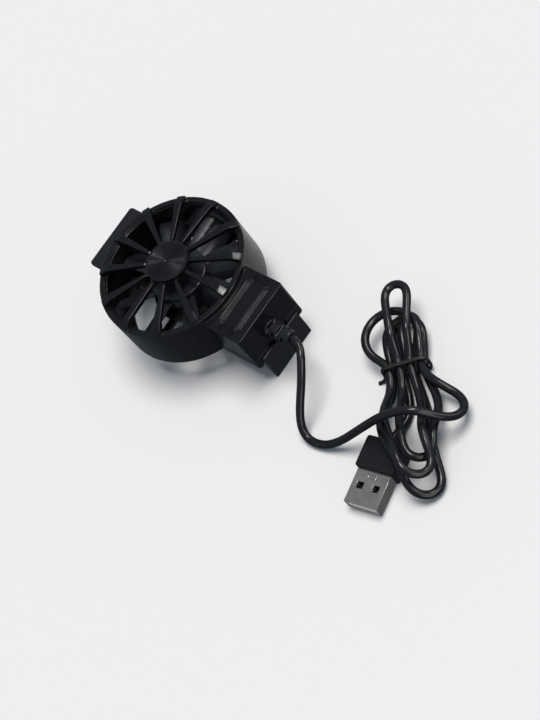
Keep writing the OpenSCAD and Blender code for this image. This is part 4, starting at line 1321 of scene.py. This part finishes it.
@dataclass
class Lead:
    """Strain relief, lead with its hank and tie, and the two wires inside."""

    hank: Hank = field(default_factory=Hank)
    cord_d: float = 2.8
    cord_sides: int = 18
    exit_at: Point = (50.6, -0.6, 10.3)
    # Points with their height over the stand, from the relief to the hank
    free_route: tuple[Point, ...] = (
        (54.2, -1.1, 19), (56.2, -3.3, 18.6), (58.6, -7.5, 16.6), (60.5, -11.8, 14), (61.2, -15, 11.4),
        (62.6, -20.6, 5.8), (65.8, -23.6, 2.2), (72.6, -23, 2.2), (78.8, -19.8, 5), (86.2, -14.6, 11.2),
        (92.8, -9.8, 16.6), (97.4, -5.8, 18), (102, -2.8, 17.8), (105.6, -0.8, 15), (108.6, 1.2, 11.4),
        (110.6, 4.2, 8), (110.6, 7.8, 5.8), (108.2, 10.6, 5), (104.8, 11.6, 5.2), (100.8, 11.4, 6.4),
        (96.8, 11.4, 7.6), (92.8, 12, 7.4))
    # Points with their height over the stand, from the hank to the plug
    plug_route: tuple[Point, ...] = ((88.2, 4.8, 1.6), (91.8, 0.8, 1.6), (93.6, -4.2, 2.1))
    plug_mid: float = 3.7
    # Low and high side, top, and radius of the corners
    tie_box: Box = (-7.2, 9.0, 8.9, 2.3)
    # Aside from the middle of the band's low side, and height over the stand
    tie_tail: tuple[tuple[float, float], ...] = (
        (0.1, 3.4), (-0.55, 2.6), (-1.0, 1.5), (-1.9, 0.7), (-3.4, 0.45))
    tail_share: float = 0.9
    tie_t: float = 0.8
    tie_w: float = 1.4
    wire_d: float = 0.9
    wire_sides: int = 12
    wire_y: float = 0.65
    # X and Z, from the relief to the drive board
    wire_route: tuple[tuple[float, float], ...] = (
        (37.8, 10.3), (35.8, 10.3), (32.8, 8.7), (30.4, 8.1), (27.0, 6.7), (21.1, 6.7), (13.0, 6.7),
        (6.6, 6.7), (5.8, 7.2), (5.7, 7.6))
    relief_ease: float = 0.16
    hank_steps: int = 160
    span_steps: int = 10
    first_spacing: float = 0.8
    last_spacing: float = 0.9
    kink_rounds: int = 16
    round_deg: float = 60.0

    def route(self) -> list[Vector]:
        """The whole lead's middle line, from the strain relief to the plug.

        Returns:
            Evenly spaced points.
        """
        lift = Vector((0, 0, STAND_Z))
        start = Vector(self.exit_at)
        hank = self.hank.path(self.hank_steps)
        into = hank[0] - (hank[2] - hank[0]).normalized() * self.cord_d
        first = start + Vector((self.cord_d / 2, 0, 0))
        free = [first] + [Vector(p) + lift for p in self.free_route] + [into]
        out = hank[-1] + (hank[-1] - hank[-3]).normalized() * self.cord_d
        end = self.hank.plug_place(self.hank.plug_back, self.plug_mid)
        before = self.hank.plug_place(self.hank.plug_back + self.cord_d, self.plug_mid)
        last = [out] + [Vector(p) + lift for p in self.plug_route] + [before]
        runs = smooth_path(free, self.span_steps) + hank + smooth_path(last, self.span_steps)
        whole = even_path([start] + runs + [end], self.first_spacing)
        return even_path(relax(whole, self.kink_rounds), self.last_spacing)

    def build(self, with_pieces: Sequence[bpy.types.Object]) -> None:
        """Args:
            with_pieces: The plug's pieces at its far end; not used.
        """
        path = self.route()
        tube = tube_mesh(path, self.cord_d / 2, self.cord_sides)
        cord = add_piece("lead_cord", tube, LEAD, self.round_deg)
        settle(cord, HOUSING, LEAD, "cord", "cord_hank", "plug_lead")
        tie = self.build_tie()
        eased_piece("strain_relief", "relief_sleeve", HOUSING, RELIEF, self.relief_ease)
        self.build_wires()

    def tie_place(self, aside: float, height: float, along: float) -> Vector:
        """A point at the hank's waist, at a height over the stand."""
        x, y = self.hank.waist_place(along, aside)
        return Vector((x, y, STAND_Z + height))

    def build_tie(self) -> bpy.types.Object:
        """Soft round-edged band about the waist, with its loose end on the stand.

        Returns:
            The tie.
        """
        low, high, top, corner = self.tie_box
        half_t, half_w = self.tie_t / 2, self.tie_w / 2
        left, right = low + half_t, high - half_t
        loop = round_corners([(left, half_t, corner), (right, half_t, corner), (right, top - half_t, corner),
                              (left, top - half_t, corner)], 8)
        shape = bmesh.new()
        self.sweep_band(shape, loop, half_t, half_w, True)
        tail = smooth_path([Vector((left + aside, height)) for aside, height in self.tie_tail], 5)
        thin = self.tail_share
        self.sweep_band(shape, [tuple(at) for at in tail], half_t * thin, half_w * thin, False)
        bmesh.ops.recalc_face_normals(shape, faces=shape.faces)
        return settle(add_piece("tie_band", shape, TIE, self.round_deg), HOUSING, TIE, "cord_tie")

    def sweep_band(self, shape: bmesh.types.BMesh, line: Sequence[tuple[float, float]], half_t: float,
                   half_w: float, closed: bool) -> None:
        """Adds a band with a rounded section along a line at the waist.

        Args:
            shape: The mesh that it is added to.
            line: Side places and heights along the band's middle.
            half_t: Half its thickness.
            half_w: Half its width.
            closed: Whether its ends meet.
        """
        count, sides, squareness = len(line), 14, 0.6
        rings = []
        for i, (x, z) in enumerate(line):
            before = line[i - 1] if closed or i else line[0]
            after = line[(i + 1) % count] if closed else line[min(i + 1, count - 1)]
            out = Vector((after[1] - before[1], before[0] - after[0])).normalized()
            ring = []
            for c, s in circle(sides):
                flat = math.copysign(abs(s) ** squareness, s) * half_w
                thick = math.copysign(abs(c) ** squareness, c) * half_t
                ring.append(shape.verts.new(self.tie_place(x + out.x * thick, z + out.y * thick, flat)))
            rings.append(ring)
        join_rings(shape, rings + rings[:1] if closed else rings)
        if not closed:
            shape.faces.new(rings[0])
            shape.faces.new(rings[-1])

    def build_wires(self) -> None:
        """The two wires that run from the relief to the drive board."""
        for node, name, side, finish in (("lead_wire_red", "wire_live", 1, RED_WIRE),
                                         ("lead_wire_black", "wire_return", -1, LEAD)):
            path = smooth_path([Vector((x, side * self.wire_y, z)) for x, z in self.wire_route], 6)
            tube = tube_mesh(path, self.wire_d / 2, self.wire_sides)
            settle(add_piece(name, tube, finish, self.round_deg), HOUSING, finish, node)


@dataclass
class Plug:
    """Plug at the lead's end: overmould, folded shell, tongue and contacts."""

    mouth: Point = (*PLUG_MOUTH, STAND_Z)
    turn: float = PLUG_TURN
    top: float = 5.95
    stamp_x: float = 9.7
    stamp_half: tuple[float, float] = (0.75, 1.6)
    stamp_corner: float = 0.14
    # In from the oblong's edge, and height over the shell
    stamp_shape: tuple[tuple[float, float], ...] = (
        (0.0, -0.05), (0.0, 0.0), (0.04, 0.112), (0.16, 0.16), (0.3, 0.16), (0.4, 0.032))

    def build(self) -> list[bpy.types.Object]:
        """Builds the plug.

        Returns:
            Its pieces.
        """
        made = []
        for node, name, finish, ease in (("plug_overmould", "plug_grip", GRIP, 0.4),
                                         ("plug_shell", "plug_sheet", NICKEL, 0.1),
                                         ("plug_tongue", "plug_insert", TONGUE, 0.15),
                                         ("plug_contacts", "plug_strips", GILT, 0.06)):
            piece = eased_copy(node, name, finish, ease)
            if node == "plug_shell":
                self.add_stamp(piece)
            made.append(settle(piece, HOUSING, finish, node))
        return made

    def add_stamp(self, sheet: bpy.types.Object) -> None:
        """Raises the small pressed oblong on the shell's top.

        Args:
            sheet: The shell, which takes the oblong into its mesh.
        """
        shape = bmesh.new()
        shape.from_mesh(sheet.data)
        place = Matrix.Translation(Vector(self.mouth)) @ Matrix.Rotation(self.turn, 4, "Z")
        half_x, half_y = self.stamp_half
        corner = self.stamp_corner
        rings = []
        for inset, height in self.stamp_shape:
            x, y = half_x - inset, half_y - inset
            outline = round_corners([(-x, -y, corner), (x, -y, corner), (x, y, corner), (-x, y, corner)], 4)
            rings.append([shape.verts.new(place @ Vector((self.stamp_x + a, b, self.top + height)) * MM)
                          for a, b in outline])
        for face in join_rings(shape, rings):
            face.smooth = True
        shape.faces.new(rings[-1])
        shape.to_mesh(sheet.data)
        shape.free()


@dataclass(frozen=True)
class Lamp:
    """One soft light: the way to it, how strong and how wide it is, and whether gloss mirrors it."""

    name: str
    toward: Point
    strength: float
    angle: float
    colour: Colour = (1.0, 0.985, 0.965)
    mirrored: bool = True


@dataclass
class Studio:
    """Pale floor, soft light and the photograph's camera."""

    # The camera's place, and its three directions
    eye: Point = (384.7, -109.92, 473.44)
    right: Point = (0.7194, 0.5676, -0.4004)
    up: Point = (-0.3837, 0.8052, 0.4521)
    back: Point = (0.579, -0.1716, 0.7971)
    lens: float = 120.0
    sensor: float = 36.0
    # Low and high corners of the floor
    floor_box: Box = (-3000, -3000, 3000, 3000)
    floor_gap: float = 0.03
    floor_tone: float = 0.86
    sky: float = 0.28
    under: float = 0.14
    sky_colour: tuple[float, ...] = (0.79, 0.9, 1.06, 1)
    dusk_from: float = -0.12
    dusk_to: float = 0.2
    # Low and high corners of the card
    card_box: Box = (-60, 24, 60, 160)
    card_gap: float = 0.1
    card_tone: float = 0.58
    lamps: tuple[Lamp, ...] = (
        Lamp("back_box", (0.434, 0.792, 0.429), 0.42, 27),
        Lamp("right_box", (0.773, 0.186, 0.606), 0.55, 27),
        Lamp("low_box", (0.9, -0.376, 0.21), 0.5, 38),
        Lamp("edge_box", (0.2, 0.17, 0.965), 1.0, 13),
        Lamp("brow_box", (0.0, 0.56, 0.828), 0.5, 14),
        Lamp("overhead", (0.03, 0.17, 0.985), 2.5, 34, (1.0, 0.966, 0.922), False))

    def build(self) -> None:
        """Sets up the stage."""
        self.build_light(self.build_floor())
        self.build_card()
        self.build_camera()

    @staticmethod
    def lay_sheet(name: str, box: Box, below: float, paint: bpy.types.Material) -> bpy.types.Object:
        """Lays a flat sheet just under the stand.

        Args:
            name: The sheet's name.
            box: Its low and high corners.
            below: How far under the stand it lies.
            paint: Its material.

        Returns:
            The sheet, not yet on the stage.
        """
        low_x, low_y, high_x, high_y = box
        corners = [(low_x, low_y), (high_x, low_y), (high_x, high_y), (low_x, high_y)]
        shape = bmesh.new()
        shape.faces.new([shape.verts.new(Vector((x, y, STAND_Z - below)) * MM) for x, y in corners])
        sheet = mesh_object(name, shape)
        sheet.data.materials.append(paint)
        return sheet

    def build_floor(self) -> bpy.types.Object:
        """Plain pale floor under the jaws and the lead.

        Returns:
            The floor.
        """
        tone = self.floor_tone
        paint, _ = start_paint("pale_floor", {"Base Color": (tone, tone, tone, 1), "Roughness": 0.9,
                                              "Specular IOR Level": 0.1})
        floor = self.lay_sheet("floor", self.floor_box, self.floor_gap, paint)
        floor.visible_glossy = False
        return floor

    def build_card(self) -> None:
        """Pale card behind the fan that only the gloss mirrors, in the floor's place."""
        paint, _ = start_paint("lit_card", {"Base Color": (0, 0, 0, 1), "Emission Color": (1, 1, 1, 1),
                                            "Emission Strength": self.card_tone})
        card = self.lay_sheet("card", self.card_box, self.card_gap, paint)
        card.visible_camera = False
        card.visible_diffuse = False
        card.visible_transmission = False
        card.visible_shadow = False

    def build_light(self, floor: bpy.types.Object) -> None:
        """Dim surround, softboxes that the gloss mirrors, and a wide light from above.

        Args:
            floor: The floor, which the softboxes leave to the light from above.
        """
        spared = bpy.data.collections.new("spared_by_softboxes")
        spared.objects.link(floor)
        spared.collection_objects[0].light_linking.link_state = "EXCLUDE"
        self.build_surround()
        for lamp in self.lamps:
            light = bpy.data.lights.new(lamp.name, "SUN")
            light.energy = lamp.strength
            light.angle = math.radians(lamp.angle)
            light.color = lamp.colour
            holder = bpy.data.objects.new(lamp.name, light)
            holder.rotation_euler = Vector(lamp.toward).to_track_quat("Z", "Y").to_euler()
            holder.visible_glossy = lamp.mirrored
            if lamp.mirrored:
                holder.light_linking.receiver_collection = spared
            bpy.context.scene.collection.objects.link(holder)
        bpy.context.scene.view_settings.view_transform = "Standard"

    def build_surround(self) -> None:
        """Cool dim surround, darker below the stand."""
        world = bpy.data.worlds.new("surround")
        bpy.context.scene.world = world
        world.use_nodes = True
        tree = world.node_tree
        place = tree.nodes.new("ShaderNodeTexCoord")
        parts = add_node(tree, "ShaderNodeSeparateXYZ", {"Vector": place.outputs["Generated"]})
        fade = add_node(tree, "ShaderNodeMapRange", {"Value": parts.outputs["Z"], "From Min": self.dusk_from,
                                                     "From Max": self.dusk_to, "To Min": self.under,
                                                     "To Max": self.sky})
        backdrop = tree.nodes["Background"]
        backdrop.inputs["Color"].default_value = self.sky_colour
        tree.links.new(fade.outputs["Result"], backdrop.inputs["Strength"])

    def build_camera(self) -> None:
        """The photograph's viewpoint."""
        camera = bpy.data.cameras.new("camera")
        camera.sensor_fit = "HORIZONTAL"
        camera.sensor_width = self.sensor
        camera.lens = self.lens
        camera.clip_start = 0.01
        camera.clip_end = 50.0
        holder = bpy.data.objects.new("camera", camera)
        turn = Matrix((self.right, self.up, self.back)).transposed().to_4x4()
        holder.matrix_world = Matrix.Translation(Vector(self.eye) * MM) @ turn
        bpy.context.scene.collection.objects.link(holder)
        bpy.context.scene.camera = holder


def main() -> None:
    """Builds the stage and every sub-assembly."""
    logging.basicConfig(level=logging.INFO, format="%(name)s %(message)s")
    Studio().build()
    plug = Plug().build()
    Lead().build(plug)
    for assembly in (Housing(), Grille(), Rotor(), Motor(), Clamp()):
        assembly.build()
        LOG.info("%s is done", type(assembly).__name__)


if __name__ == "__main__":
    main()
